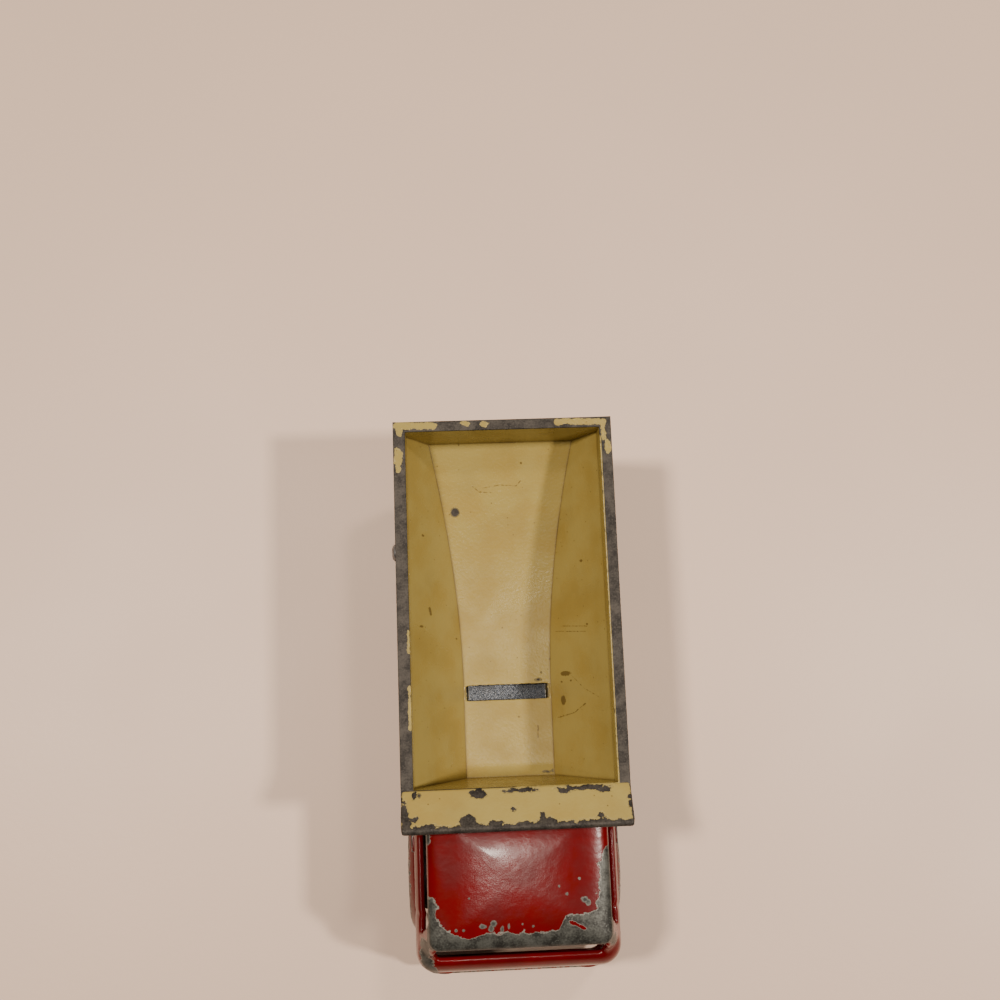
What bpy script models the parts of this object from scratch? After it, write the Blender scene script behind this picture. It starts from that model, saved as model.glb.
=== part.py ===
"""A small die-cast toy dump truck, as its separate pieces.

Every length is in millimetres, and MM turns it into metres. The truck's front faces -Y,
+Z is up, and the origin is on the ground under the middle of the truck.

The red cab and the chassis frame are riveted to a base plate, which also holds the two
axles. The cream hopper tips about a pin through the tail of the frame. Under its floor a
slide gate runs in a keeper, and closes a slot across the floor.
"""

import math
from typing import NamedTuple

import bmesh
import bpy

MM = 0.001

# --- Driving sizes -------------------------------------------------------------------
TYRE_RADIUS = 5.3
TYRE_DEPTH = 1.85
FRONT_TYRE_WIDTH = 3.4
REAR_TYRE_WIDTH = 3.0
DUAL_GAP = 0.7
AXLE_RADIUS = 0.8
AXLE_HEAD_RADIUS = 1.2
FRONT_HEAD_LENGTH = 0.6
REAR_HEAD_LENGTH = 1.15
REAR_AXLE_FROM_TAIL = 13.35

RAIL_HALF_WIDTH = 4.6
RAIL_WIDTH = 1.6
RAIL_BELOW_AXLE = 1.0
RAIL_ABOVE_AXLE = 1.9
CROSS_MEMBER = 2.4
BASE_THICKNESS = 0.85

CAB_LENGTH = 22.15
CAB_WIDTH = 24.2
CAB_WALL = 0.8
CAB_SKIRT = 1.1
ROOF_BELOW_RIM = 0.5
CORNER_RADIUS = 2.5
REAR_CORNER_RADIUS = 0.9
ARCH_FROM_REAR = 2.7
FLARE_STAND = 0.84
FLARE_LIP = 1.2
BUMPER_HEIGHT = 2.1
HEADLAMP_RADIUS = 1.25

HOPPER_LENGTH = 43.75
HOPPER_WIDTH = 26.0
HOPPER_DEPTH = 13.3
HOPPER_WALL = 1.25
HOPPER_SIDE_WALL = 1.45
FLOOR_HALF_WIDTH = 5.5
FLOOR_THICKNESS = 1.2
RIM_BAND = 2.6
TAIL_RISE = 6.15
RISE_POWER = 1.85
SLOT_WIDTH = 1.9
SLOT_FROM_FRONT = 10.7
SHIELD_REACH = 4.35
SHIELD_RISE = 2.3
SHIELD_THICKNESS = 0.9
RIB_THICKNESS = 1.0
RIB_COUNT = 5

GATE_THICKNESS = 1.2
GATE_LAP = 0.9
KEEPER_THICKNESS = 0.45
KEEPER_SIDE = 1.1
PIN_RADIUS = 0.7
PIN_FROM_TAIL = 4.85
LUG_THICKNESS = 1.2
LUG_RADIUS = 1.5
RIVET_RADIUS = 0.8
RIVET_HEAD_RADIUS = 1.5
KEEPER_RIVET_RADIUS = 0.32

# --- Clearances ----------------------------------------------------------------------
CAB_GAP = 0.8
WHEEL_ROOM = 0.8
RUNNING = 0.1
SEAT = 0.15
SLIDE_ROOM = 0.2
SIDE_ROOM = 0.25

# --- Round pieces --------------------------------------------------------------------
WHEEL_SEGMENTS = 40
SHAFT_SEGMENTS = 24
SMALL_SEGMENTS = 14
ARC_STEPS = 6

# --- Places that follow from the sizes -----------------------------------------------
LENGTH = CAB_LENGTH + CAB_GAP + HOPPER_LENGTH
FRONT_Y = -LENGTH / 2
CAB_REAR_Y = FRONT_Y + CAB_LENGTH
HOPPER_FRONT_Y = CAB_REAR_Y + CAB_GAP
TAIL_Y = LENGTH / 2
ARCH_RADIUS = TYRE_RADIUS + WHEEL_ROOM
FRONT_AXLE_Y = CAB_REAR_Y - ARCH_FROM_REAR - ARCH_RADIUS
REAR_AXLE_Y = TAIL_Y - REAR_AXLE_FROM_TAIL

AXLE_Z = TYRE_RADIUS
RAIL_BOTTOM = AXLE_Z - RAIL_BELOW_AXLE
RAIL_TOP = AXLE_Z + RAIL_ABOVE_AXLE
BASE_TOP = RAIL_BOTTOM - SEAT
BASE_BOTTOM = BASE_TOP - BASE_THICKNESS
KEEPER_BOTTOM = RAIL_TOP + SIDE_ROOM
KEEPER_TOP = KEEPER_BOTTOM + KEEPER_THICKNESS
GATE_BOTTOM = KEEPER_TOP + SLIDE_ROOM
GATE_TOP = GATE_BOTTOM + GATE_THICKNESS
UNDERSIDE = GATE_TOP + SLIDE_ROOM
FLOOR_Z = UNDERSIDE + FLOOR_THICKNESS
RIM_Z = FLOOR_Z + HOPPER_DEPTH
CAB_BOTTOM = RAIL_BOTTOM - CAB_SKIRT
CAB_HEIGHT = RIM_Z - ROOF_BELOW_RIM - CAB_BOTTOM
CAB_FOOT_BOTTOM = RAIL_TOP + SEAT

SLOT_FRONT_Y = HOPPER_FRONT_Y + SLOT_FROM_FRONT
SLOT_REAR_Y = SLOT_FRONT_Y + SLOT_WIDTH
SLOT_HALF_WIDTH = FLOOR_HALF_WIDTH - 0.05
GATE_HALF_WIDTH = SLOT_HALF_WIDTH - 0.5
KEEPER_HALF_WIDTH = GATE_HALF_WIDTH + SEAT + KEEPER_SIDE
KEEPER_FRONT_Y = SLOT_FRONT_Y - 3.5
KEEPER_REAR_Y = SLOT_REAR_Y + 6.5
INNER_HALF_WIDTH = HOPPER_WIDTH / 2 - HOPPER_SIDE_WALL
PIN_Y = TAIL_Y - PIN_FROM_TAIL
PIN_Z = RAIL_TOP - 0.6

HUB_RADIUS = TYRE_RADIUS - TYRE_DEPTH - RUNNING
FRONT_WHEEL_X = CAB_WIDTH / 2 + 0.4 - FRONT_TYRE_WIDTH / 2
DUAL_WIDTH = 2 * REAR_TYRE_WIDTH + DUAL_GAP
REAR_WHEEL_X = max(KEEPER_HALF_WIDTH, RAIL_HALF_WIDTH) + SIDE_ROOM + DUAL_WIDTH / 2
LUG_X = RAIL_HALF_WIDTH + SIDE_ROOM
CAB_RIVET_Y = CAB_REAR_Y - 2.8
REAR_RIVET_Y = REAR_AXLE_Y - TYRE_RADIUS - 1.5
CHASSIS_FRONT_Y = FRONT_Y + 3.2
REST_Y = HOPPER_FRONT_Y + 1.8

RED = (0.30, 0.006, 0.012, 1.0)
CREAM = (0.78, 0.62, 0.22, 1.0)
ZINC = (0.22, 0.21, 0.20, 1.0)
STEEL = (0.32, 0.33, 0.35, 1.0)
BLACK = (0.012, 0.012, 0.013, 1.0)
GREY = (0.35, 0.35, 0.34, 1.0)


class CabLevel(NamedTuple):
    """One level of the cab: its share of the height, how far each side stands back, and
    the radius of its front corners."""

    share: float
    front: float
    side: float
    rear: float
    corner: float


CAB_LEVELS = (
    CabLevel(0.000, 1.15, 0.10, 0.0, 2.5),
    CabLevel(0.090, 0.85, 0.00, 0.0, 2.5),
    CabLevel(0.245, 1.00, 0.00, 0.0, 2.5),
    CabLevel(0.335, 1.65, 0.00, 0.0, 2.5),
    CabLevel(0.435, 2.45, 0.00, 0.0, 2.5),
    CabLevel(0.530, 3.10, 0.00, 0.0, 2.5),
    CabLevel(0.630, 3.70, 0.10, 0.0, 2.4),
    CabLevel(0.730, 4.30, 0.65, 0.0, 2.2),
    CabLevel(0.830, 5.40, 1.20, 0.0, 1.7),
    CabLevel(0.925, 6.50, 1.75, 0.1, 1.2),
    CabLevel(0.965, 7.20, 2.40, 0.6, 1.3),
    CabLevel(0.990, 9.00, 4.00, 2.2, 1.6),
    CabLevel(1.000, 12.00, 7.00, 5.0, 2.0),
)
GRILLE_SHARE = 0.130
LAMP_SHARE = 0.195
LAMP_SETBACK = 0.75
SILL_SHARE = 0.730
HEADER_SHARE = 0.912
ROOF_SHARE = 0.925


# --- Mesh tools ----------------------------------------------------------------------
def loft(rings):
    """A closed body through rings of points, each ring with the same number of points."""
    bm = bmesh.new()
    loops = [[bm.verts.new(point) for point in ring] for ring in rings]
    count = len(rings[0])
    for first, second in zip(loops, loops[1:]):
        for i in range(count):
            j = (i + 1) % count
            bm.faces.new((first[i], first[j], second[j], second[i]))
    bm.faces.new(loops[0])
    bm.faces.new(loops[-1])
    bmesh.ops.recalc_face_normals(bm, faces=bm.faces)
    return bm


def prism(outline, axis, low, high):
    """An outline in the plane across an axis, given in X, Y, Z order, run from low to high."""

    def placed(a, b, along):
        return {"X": (along, a, b), "Y": (a, along, b), "Z": (a, b, along)}[axis]

    return loft([[placed(a, b, end) for a, b in outline] for end in (low, high)])


def block(low, high):
    """A box between two opposite corners."""
    (x0, y0, z0), (x1, y1, z1) = low, high
    return prism([(x0, y0), (x1, y0), (x1, y1), (x0, y1)], "Z", z0, z1)


def disc(radius, segments, centre=(0.0, 0.0)):
    """A circle's points, one of them straight down."""
    return [
        (
            centre[0] + radius * math.sin(2 * math.pi * i / segments),
            centre[1] - radius * math.cos(2 * math.pi * i / segments),
        )
        for i in range(segments)
    ]


def rod(axis, radius, low, high, centre, segments=SHAFT_SEGMENTS):
    """A round bar along an axis; centre is its place across that axis."""
    return prism(disc(radius, segments, centre), axis, low, high)


def turned(profile, segments, centre, axis="X"):
    """A profile of (along, radius) points turned about an axis through centre (Y, Z or X, Y).

    A profile that starts and ends at radius 0 makes a solid; any other is a closed loop
    round a bore.
    """
    bm = bmesh.new()
    solid = profile[0][1] == 0
    rings = []
    for along, radius in profile:
        points = disc(radius, segments, centre) if radius else [centre]
        placed = [(along, *p) if axis == "X" else (*p, along) for p in points]
        rings.append([bm.verts.new(p) for p in placed])
    pairs = list(zip(rings, rings[1:])) + ([] if solid else [(rings[-1], rings[0])])
    for first, second in pairs:
        for i in range(segments):
            j = (i + 1) % segments
            corners = [first[i % len(first)], first[j % len(first)]]
            corners += [second[j % len(second)], second[i % len(second)]]
            bm.faces.new(dict.fromkeys(corners))
    bmesh.ops.recalc_face_normals(bm, faces=bm.faces)
    return bm


def together(bodies):
    """One mesh of several bodies that stay apart."""
    whole = bmesh.new()
    for body in bodies:
        part = bpy.data.meshes.new("part")
        body.to_mesh(part)
        body.free()
        whole.from_mesh(part)
        bpy.data.meshes.remove(part)
    return whole


def both_sides(make):
    """The bodies that make gives for the right side (+1) and the left side (-1)."""
    return together([make(1), make(-1)])


# --- Objects -------------------------------------------------------------------------
def material(name, color, roughness, metallic):
    made = bpy.data.materials.new(name)
    made.use_nodes = True
    shader = made.node_tree.nodes["Principled BSDF"]
    shader.inputs["Base Color"].default_value = color
    shader.inputs["Roughness"].default_value = roughness
    shader.inputs["Metallic"].default_value = metallic
    made.diffuse_color = color
    return made


def make(name, bm, finish=None, origin=(0.0, 0.0, 0.0)):
    """An object from a mesh in the truck's millimetres, with its origin at a point of it."""
    for vert in bm.verts:
        vert.co = [(co - start) * MM for co, start in zip(vert.co, origin)]
    mesh = bpy.data.meshes.new(name)
    bm.to_mesh(mesh)
    bm.free()
    mesh.shade_smooth()
    mesh.set_sharp_from_angle(angle=math.radians(35))
    obj = bpy.data.objects.new(name, mesh)
    obj.location = [co * MM for co in origin]
    bpy.context.scene.collection.objects.link(obj)
    if finish:
        mesh.materials.append(finish)
    return obj


def combine(obj, bm, label, operation):
    """Adds or cuts another body, which stays in the file as a hidden wire object."""
    other = make(f"{obj.name}_{label}", bm)
    other.hide_render = True
    other.display_type = "WIRE"
    step = obj.modifiers.new(label, "BOOLEAN")
    step.operation = operation
    step.object = other


def add(obj, bm, label):
    combine(obj, bm, label, "UNION")


def cut(obj, bm, label):
    combine(obj, bm, label, "DIFFERENCE")


# --- Cab -----------------------------------------------------------------------------
def cab_z(share):
    return CAB_BOTTOM + share * CAB_HEIGHT


def plan_ring(front, rear, half, z, front_radius, rear_radius):
    """A rectangle with round corners, seen from above, at one height."""
    corners = (
        (half, front, front_radius, -90),
        (half, rear, rear_radius, 0),
        (-half, rear, rear_radius, 90),
        (-half, front, front_radius, 180),
    )
    ring = []
    for x, y, radius, start in corners:
        centre_x = x - math.copysign(radius, x)
        centre_y = y + radius if y == front else y - radius
        for step in range(ARC_STEPS + 1):
            turn = math.radians(start + 90 * step / ARC_STEPS)
            around = (math.cos(turn) * radius, math.sin(turn) * radius)
            ring.append((centre_x + around[0], centre_y + around[1], z))
    return ring


def cab_ring(level, inset, z):
    half = CAB_WIDTH / 2 - level.side - inset
    front = FRONT_Y + level.front + inset
    rear = CAB_REAR_Y - level.rear - inset
    rear_radius = max(REAR_CORNER_RADIUS - inset, 0.1)
    return plan_ring(front, rear, half, z, max(level.corner - inset, 0.1), rear_radius)


def flare(side):
    """A lip round the wheel arch that stands out most at its top."""
    steps, middle = 20, (ARCH_RADIUS + FLARE_LIP / 2)
    rings = []
    for step in range(steps + 1):
        turn = math.pi * step / steps
        stand = CAB_WIDTH / 2 + FLARE_STAND * (0.15 + 0.85 * math.sin(turn))
        ring = []
        for x, out in (
            (CAB_WIDTH / 2 - 0.6, -FLARE_LIP / 2),
            (stand, -FLARE_LIP / 2),
            (stand, 0.0),
            (CAB_WIDTH / 2 - 0.6, FLARE_LIP),
        ):
            radius = middle + out
            y = FRONT_AXLE_Y + radius * math.cos(turn)
            ring.append((side * x, y, AXLE_Z + radius * math.sin(turn)))
        rings.append(ring)
    return loft(rings)


def bumper():
    half, radius = CAB_WIDTH / 2 + 0.05, CORNER_RADIUS + 0.2
    rear = FRONT_Y + 5.0
    low = CAB_BOTTOM + 0.1
    heights = (low, low + 0.25, low + BUMPER_HEIGHT - 0.25, low + BUMPER_HEIGHT)
    insets = (0.2, 0.0, 0.0, 0.2)
    return loft(
        [
            plan_ring(FRONT_Y + inset, rear, half - inset, z, radius, 0.3)
            for z, inset in zip(heights, insets)
        ]
    )


def headlamp(side):
    place = (side * (CAB_WIDTH / 2 - 3.3), cab_z(LAMP_SHARE))
    return rod("Y", HEADLAMP_RADIUS, FRONT_Y + LAMP_SETBACK, FRONT_Y + 3.0, place)


def grille_slots():
    pitch, height, half = 0.95, 0.45, CAB_WIDTH / 2 - 5.7
    bodies = []
    for row in range(4):
        z = cab_z(GRILLE_SHARE) + row * pitch
        bodies.append(block((-half, FRONT_Y - 1, z), (half, FRONT_Y + 1.5, z + height)))
    return together(bodies)


def cab_cavity():
    """The inside of the cab, from below its bottom edge to the underside of the roof."""
    levels = [level for level in CAB_LEVELS if level.share <= ROOF_SHARE]
    rings = [cab_ring(levels[0], CAB_WALL, CAB_BOTTOM - 1)]
    rings += [cab_ring(level, CAB_WALL, cab_z(level.share)) for level in levels[1:]]
    crown = levels[-1]._replace(front=9.0, side=4.0, rear=2.2)
    rings.append(cab_ring(crown, CAB_WALL, cab_z(1.0) - CAB_WALL - 0.35))
    return loft(rings)


def side_windows():
    low, high = cab_z(SILL_SHARE), cab_z(HEADER_SHARE)
    front, rear = FRONT_Y + 7.6, CAB_REAR_Y - 3.2
    outline = [(front, low), (rear, low), (rear, high), (front + 1.6, high)]
    return prism(outline, "X", -CAB_WIDTH, CAB_WIDTH)


def build_cab(finish):
    cab = make("cab", loft([cab_ring(lv, 0.0, cab_z(lv.share)) for lv in CAB_LEVELS]), finish)
    add(cab, bumper(), "bumper")
    add(cab, both_sides(flare), "flares")
    add(cab, both_sides(headlamp), "headlamps")
    cut(cab, cab_cavity(), "cavity")
    place = (FRONT_AXLE_Y, AXLE_Z)
    cut(cab, rod("X", ARCH_RADIUS, -CAB_WIDTH, CAB_WIDTH, place, WHEEL_SEGMENTS), "arches")
    half = CAB_WIDTH / 2 - 2.2
    sill, header = cab_z(SILL_SHARE), cab_z(HEADER_SHARE)
    screen = block((-half, FRONT_Y - 1, sill), (half, FRONT_Y + 9.0, header))
    cut(cab, screen, "windscreen")
    cut(cab, side_windows(), "side_windows")
    cut(cab, grille_slots(), "grille")
    room = RAIL_HALF_WIDTH + SIDE_ROOM
    low = (-room, CAB_REAR_Y - 3, CAB_BOTTOM - 1)
    cut(cab, block(low, (room, CAB_REAR_Y + 1, CAB_FOOT_BOTTOM)), "chassis_notch")
    foot_half = FRONT_WHEEL_X - FRONT_TYRE_WIDTH / 2 - 1.0
    low = (-foot_half, CAB_REAR_Y - 4.6, CAB_FOOT_BOTTOM)
    high = (foot_half, CAB_REAR_Y - CAB_WALL / 2, CAB_FOOT_BOTTOM + 1.7)
    add(cab, block(low, high), "foot")
    hole = rod(
        "Z", RIVET_RADIUS + RUNNING, CAB_FOOT_BOTTOM - 1, CAB_FOOT_BOTTOM + 1.3, (0, CAB_RIVET_Y)
    )
    cut(cab, hole, "rivet_hole")
    return cab


# --- Chassis -------------------------------------------------------------------------
def cross_members():
    """Where the frame's rails are tied together, from front to rear."""
    return (
        CHASSIS_FRONT_Y + CROSS_MEMBER / 2,
        FRONT_AXLE_Y,
        CAB_RIVET_Y,
        REST_Y + 0.8,
        REAR_RIVET_Y,
        REAR_AXLE_Y,
        PIN_Y - LUG_RADIUS - CROSS_MEMBER / 2,
    )


def frame_windows():
    """The open spaces between the rails, from one cross member to the next."""
    half, members = RAIL_HALF_WIDTH - RAIL_WIDTH, cross_members()
    gaps = [
        (front + CROSS_MEMBER / 2, rear - CROSS_MEMBER / 2)
        for front, rear in zip(members, members[1:])
    ]
    gaps.append((members[-1] + CROSS_MEMBER / 2, PIN_Y + 2 * LUG_RADIUS))
    return together(
        [
            block((-half, front, RAIL_BOTTOM - 1), (half, rear, RAIL_TOP + 1))
            for front, rear in gaps
            if rear - front > 0.5
        ]
    )


def axle_saddle(y):
    """A slot up into the rails, open below, with a half-round top for an axle."""
    radius = AXLE_RADIUS + RUNNING
    outline = [(y + radius, RAIL_BOTTOM - 1), (y - radius, RAIL_BOTTOM - 1)]
    for step in range(SMALL_SEGMENTS + 1):
        turn = math.pi * (1 - step / SMALL_SEGMENTS)
        outline.append((y + radius * math.cos(turn), AXLE_Z + radius * math.sin(turn)))
    return prism(outline, "X", -RAIL_HALF_WIDTH - 1, RAIL_HALF_WIDTH + 1)


def pin_ear(side):
    low = RAIL_HALF_WIDTH - RAIL_WIDTH
    ear = rod("X", LUG_RADIUS, low, RAIL_HALF_WIDTH, (PIN_Y, PIN_Z))
    for vert in ear.verts:
        vert.co.x *= side
    bmesh.ops.recalc_face_normals(ear, faces=ear.faces)
    return ear


def build_chassis(finish):
    low = (-RAIL_HALF_WIDTH, CHASSIS_FRONT_Y, RAIL_BOTTOM)
    frame = make("chassis_frame", block(low, (RAIL_HALF_WIDTH, PIN_Y + 0.4, RAIL_TOP)), finish)
    cut(frame, frame_windows(), "windows")
    cut(frame, together([axle_saddle(FRONT_AXLE_Y), axle_saddle(REAR_AXLE_Y)]), "saddles")
    add(frame, both_sides(pin_ear), "pin_ears")
    rest = block(
        (-RAIL_HALF_WIDTH + 0.2, REST_Y, RAIL_TOP - 0.5),
        (RAIL_HALF_WIDTH - 0.2, REST_Y + 1.6, UNDERSIDE - RUNNING),
    )
    add(frame, rest, "hopper_rest")
    bore = rod("X", PIN_RADIUS + RUNNING, -LUG_X, LUG_X, (PIN_Y, PIN_Z))
    cut(frame, bore, "pin_bore")
    radius = RIVET_RADIUS + RUNNING
    through = rod("Z", radius, RAIL_BOTTOM - 1, RAIL_TOP + 1, (0, CAB_RIVET_Y))
    blind = rod("Z", radius, RAIL_BOTTOM - 1, RAIL_TOP - 0.4, (0, REAR_RIVET_Y))
    cut(frame, together([through, blind]), "rivet_holes")
    return frame


def build_base_plate(finish):
    wide = CAB_WIDTH / 2 - CAB_WALL - 0.5
    middle = FRONT_WHEEL_X - FRONT_TYRE_WIDTH / 2 - 1.1
    arch_front = FRONT_AXLE_Y - TYRE_RADIUS - WHEEL_ROOM
    front, rear = FRONT_Y + 2.6, PIN_Y - LUG_RADIUS - 0.3
    neck = CAB_REAR_Y - CAB_WALL - 1.0
    corner = min(CORNER_RADIUS, 0.8 * (arch_front - front))
    right = [
        (wide - corner, front),
        (wide - 0.3 * corner, front + 0.3 * corner),
        (wide, front + corner),
        (wide, arch_front),
        (middle, arch_front + 0.6),
        (middle, neck - 1.0),
        (RAIL_HALF_WIDTH, neck),
        (RAIL_HALF_WIDTH, rear - 1.0),
        (RAIL_HALF_WIDTH - 1.0, rear),
    ]
    outline = right + [(-x, y) for x, y in reversed(right)]
    plate = make("base_plate", prism(outline, "Z", BASE_BOTTOM, BASE_TOP), finish)
    radius = RIVET_RADIUS + RUNNING
    holes = [
        rod("Z", radius, BASE_BOTTOM - 1, BASE_TOP + 1, (0, y))
        for y in (CAB_RIVET_Y, REAR_RIVET_Y)
    ]
    cut(plate, together(holes), "rivet_holes")
    return plate


def build_base_rivet(name, y, top, finish):
    """A shank up through the base plate and frame, under a low domed head."""
    seat = BASE_BOTTOM - 0.05
    dome = [
        (seat - 0.6 * math.sin(turn), RIVET_HEAD_RADIUS * math.cos(turn))
        for turn in (math.radians(angle) for angle in (60, 40, 20, 0))
    ]
    profile = [(seat - 0.6, 0), *dome, (seat, RIVET_RADIUS), (top, RIVET_RADIUS), (top, 0)]
    return make(name, turned(profile, SHAFT_SEGMENTS, (0, y), "Z"), finish)


# --- Wheels --------------------------------------------------------------------------
def build_axle(name, y, wheel_x, half_width, head, finish):
    """A straight shaft with a domed head outside each wheel."""
    start = wheel_x + half_width + SEAT
    half = [
        (start + head * math.sin(turn), AXLE_HEAD_RADIUS * math.cos(turn))
        for turn in (math.radians(angle) for angle in (0, 25, 50, 72))
    ]
    half = [(start, AXLE_RADIUS)] + half + [(start + head, 0)]
    profile = [(-x, r) for x, r in reversed(half)] + half
    return make(name, turned(profile, SHAFT_SEGMENTS, (y, AXLE_Z)), finish)


def build_tyre(name, x, y, width, finish):
    half, inner = width / 2, TYRE_RADIUS - TYRE_DEPTH
    profile = [
        (-half, inner),
        (-half, TYRE_RADIUS - 0.75),
        (-half + 0.3, TYRE_RADIUS - 0.2),
        (-half + 0.75, TYRE_RADIUS),
    ]
    profile += [(-along, radius) for along, radius in reversed(profile)]
    placed = [(x + along, radius) for along, radius in profile]
    body = turned(placed, WHEEL_SEGMENTS, (y, AXLE_Z))
    return make(name, body, finish, (x, y, AXLE_Z))


def build_hub(name, x, y, width, finish):
    """A wheel centre with a dished outer face and a boss round its bore."""
    side, half, bore = math.copysign(1, x), width / 2, AXLE_RADIUS + RUNNING
    profile = [
        (-half, bore),
        (-half, HUB_RADIUS),
        (half - 0.15, HUB_RADIUS),
        (half - 0.15, HUB_RADIUS - 0.4),
        (half - 0.95, HUB_RADIUS - 0.8),
        (half - 0.95, bore + 0.9),
        (half, bore + 0.6),
        (half, bore),
    ]
    placed = [(x + side * along, radius) for along, radius in profile]
    body = turned(placed, WHEEL_SEGMENTS, (y, AXLE_Z))
    return make(name, body, finish, (x, y, AXLE_Z))


def build_wheels(hub_finish, tyre_finish):
    made = []
    offset = (REAR_TYRE_WIDTH + DUAL_GAP) / 2
    for side, word in ((-1, "left"), (1, "right")):
        x, y = side * FRONT_WHEEL_X, FRONT_AXLE_Y
        made.append(build_hub(f"front_hub_{word}", x, y, FRONT_TYRE_WIDTH, hub_finish))
        made.append(build_tyre(f"front_tyre_{word}", x, y, FRONT_TYRE_WIDTH, tyre_finish))
        x, y = side * REAR_WHEEL_X, REAR_AXLE_Y
        made.append(build_hub(f"rear_hub_{word}", x, y, DUAL_WIDTH, hub_finish))
        for place, along in (("outer", side * offset), ("inner", -side * offset)):
            name = f"rear_tyre_{word}_{place}"
            made.append(build_tyre(name, x + along, y, REAR_TYRE_WIDTH, tyre_finish))
    return made


# --- Hopper --------------------------------------------------------------------------
def floor_z(y):
    """Level to the slot, then rising to the tail in one smooth curve."""
    inner_tail = TAIL_Y - HOPPER_WALL
    share = max(0.0, (y - SLOT_REAR_Y) / (inner_tail - SLOT_REAR_Y))
    return FLOOR_Z + TAIL_RISE * share**RISE_POWER


def slope_x(z, offset=0.0):
    """Half the width between the sloping sides at a height, moved outwards by offset."""
    per_rise = (INNER_HALF_WIDTH - FLOOR_HALF_WIDTH) / (HOPPER_DEPTH - RIM_BAND)
    return FLOOR_HALF_WIDTH + offset + per_rise * (z - FLOOR_Z)


def hopper_stations(front, rear):
    """Where the hopper's sections stand: closer together where the floor curves."""
    steps = 10
    curved = [SLOT_REAR_Y + (rear - SLOT_REAR_Y) * step / steps for step in range(steps + 1)]
    return [front, *curved]


def hopper_outer():
    half = HOPPER_WIDTH / 2
    offset = HOPPER_SIDE_WALL - 0.1
    band = RIM_Z - RIM_BAND + 0.2
    rings = []
    for y in hopper_stations(HOPPER_FRONT_Y, TAIL_Y):
        low = floor_z(y) - FLOOR_THICKNESS
        bottom = slope_x(low, offset)
        right = [(half, RIM_Z), (half, band), (bottom, low)]
        outline = right + [(-x, z) for x, z in reversed(right)]
        rings.append([(x, y, z) for x, z in outline])
    return loft(rings)


def hopper_inside():
    half, top = INNER_HALF_WIDTH, RIM_Z + SHIELD_RISE + 3
    rings = []
    for y in hopper_stations(HOPPER_FRONT_Y + HOPPER_WALL, TAIL_Y - HOPPER_WALL):
        low = floor_z(y)
        right = [(half, top), (half, RIM_Z - RIM_BAND), (slope_x(low), low)]
        outline = right + [(-x, z) for x, z in reversed(right)]
        rings.append([(x, y, z) for x, z in outline])
    return loft(rings)


def shield():
    """A plate up and forward over the cab from the top of the front wall."""
    back_y, back_z = HOPPER_FRONT_Y + HOPPER_WALL, RIM_Z
    slope = math.atan2(SHIELD_RISE, SHIELD_REACH)
    along = (-math.cos(slope), math.sin(slope))
    down = (-math.sin(slope), -math.cos(slope))
    half = SHIELD_THICKNESS / 2
    length = math.hypot(SHIELD_REACH, SHIELD_RISE) - half

    def point(run, drop):
        return (
            back_y + run * along[0] + drop * down[0],
            back_z + run * along[1] + drop * down[1],
        )

    outline = [point(-1.0, 0.0)]
    for step in range(7):
        turn = math.pi * step / 6
        outline.append(point(length + half * math.sin(turn), half - half * math.cos(turn)))
    outline.append((HOPPER_FRONT_Y + 0.3, RIM_Z - 0.6))
    outline.append((HOPPER_FRONT_Y + 0.3, RIM_Z - 2.0))
    outline.append((back_y + 0.9, RIM_Z - 2.0))
    return prism(outline, "X", -HOPPER_WIDTH / 2, HOPPER_WIDTH / 2)


def ribs(side):
    """Gussets between the rim and the foot of one sloping side."""
    half, foot = HOPPER_WIDTH / 2 - 0.15, FLOOR_Z + 2.4
    first, last = HOPPER_FRONT_Y + 3.0, TAIL_Y - 3.0
    bodies = []
    for i in range(RIB_COUNT):
        y = first + (last - first) * i / (RIB_COUNT - 1)
        low = max(foot, floor_z(y) + 0.4)
        outline = [
            (slope_x(low, 0.7), low),
            (slope_x(low, HOPPER_SIDE_WALL + 0.9), low),
            (half, RIM_Z - RIM_BAND - 1.4),
            (half, RIM_Z - RIM_BAND + 0.9),
            (half - 0.7, RIM_Z - RIM_BAND + 0.9),
        ]
        placed = [(side * x, z) for x, z in outline]
        bodies.append(prism(placed, "Y", y - RIB_THICKNESS / 2, y + RIB_THICKNESS / 2))
    return together(bodies)


def hinge_lug(side):
    """An ear from the hopper's underside down round the hinge pin."""
    top = floor_z(PIN_Y) - FLOOR_THICKNESS / 2
    outline = [(PIN_Y - 2.6, top), (PIN_Y + 2.6, top)]
    for step in range(13):
        turn = -math.pi * step / 12
        outline.append((PIN_Y + LUG_RADIUS * math.cos(turn), PIN_Z + LUG_RADIUS * math.sin(turn)))
    ends = sorted((side * LUG_X, side * (LUG_X + LUG_THICKNESS)))
    return prism(outline, "X", *ends)


def guide_rail(side):
    """A cast bar under the floor that a side of the gate runs along."""
    ends = sorted((side * (GATE_HALF_WIDTH + SEAT), side * KEEPER_HALF_WIDTH))
    low = (ends[0], KEEPER_FRONT_Y, KEEPER_TOP + 0.05)
    return block(low, (ends[1], KEEPER_REAR_Y, UNDERSIDE + 0.4))


def keeper_rivet_x():
    return (GATE_HALF_WIDTH + SEAT + KEEPER_HALF_WIDTH) / 2


def keeper_rivet_y():
    return SLOT_REAR_Y + 2.0


def keeper_rivet_holes(low, high):
    radius = KEEPER_RIVET_RADIUS + 0.05
    place = (keeper_rivet_x(), keeper_rivet_y())
    return both_sides(
        lambda side: rod("Z", radius, low, high, (side * place[0], place[1]), SMALL_SEGMENTS)
    )


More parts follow.
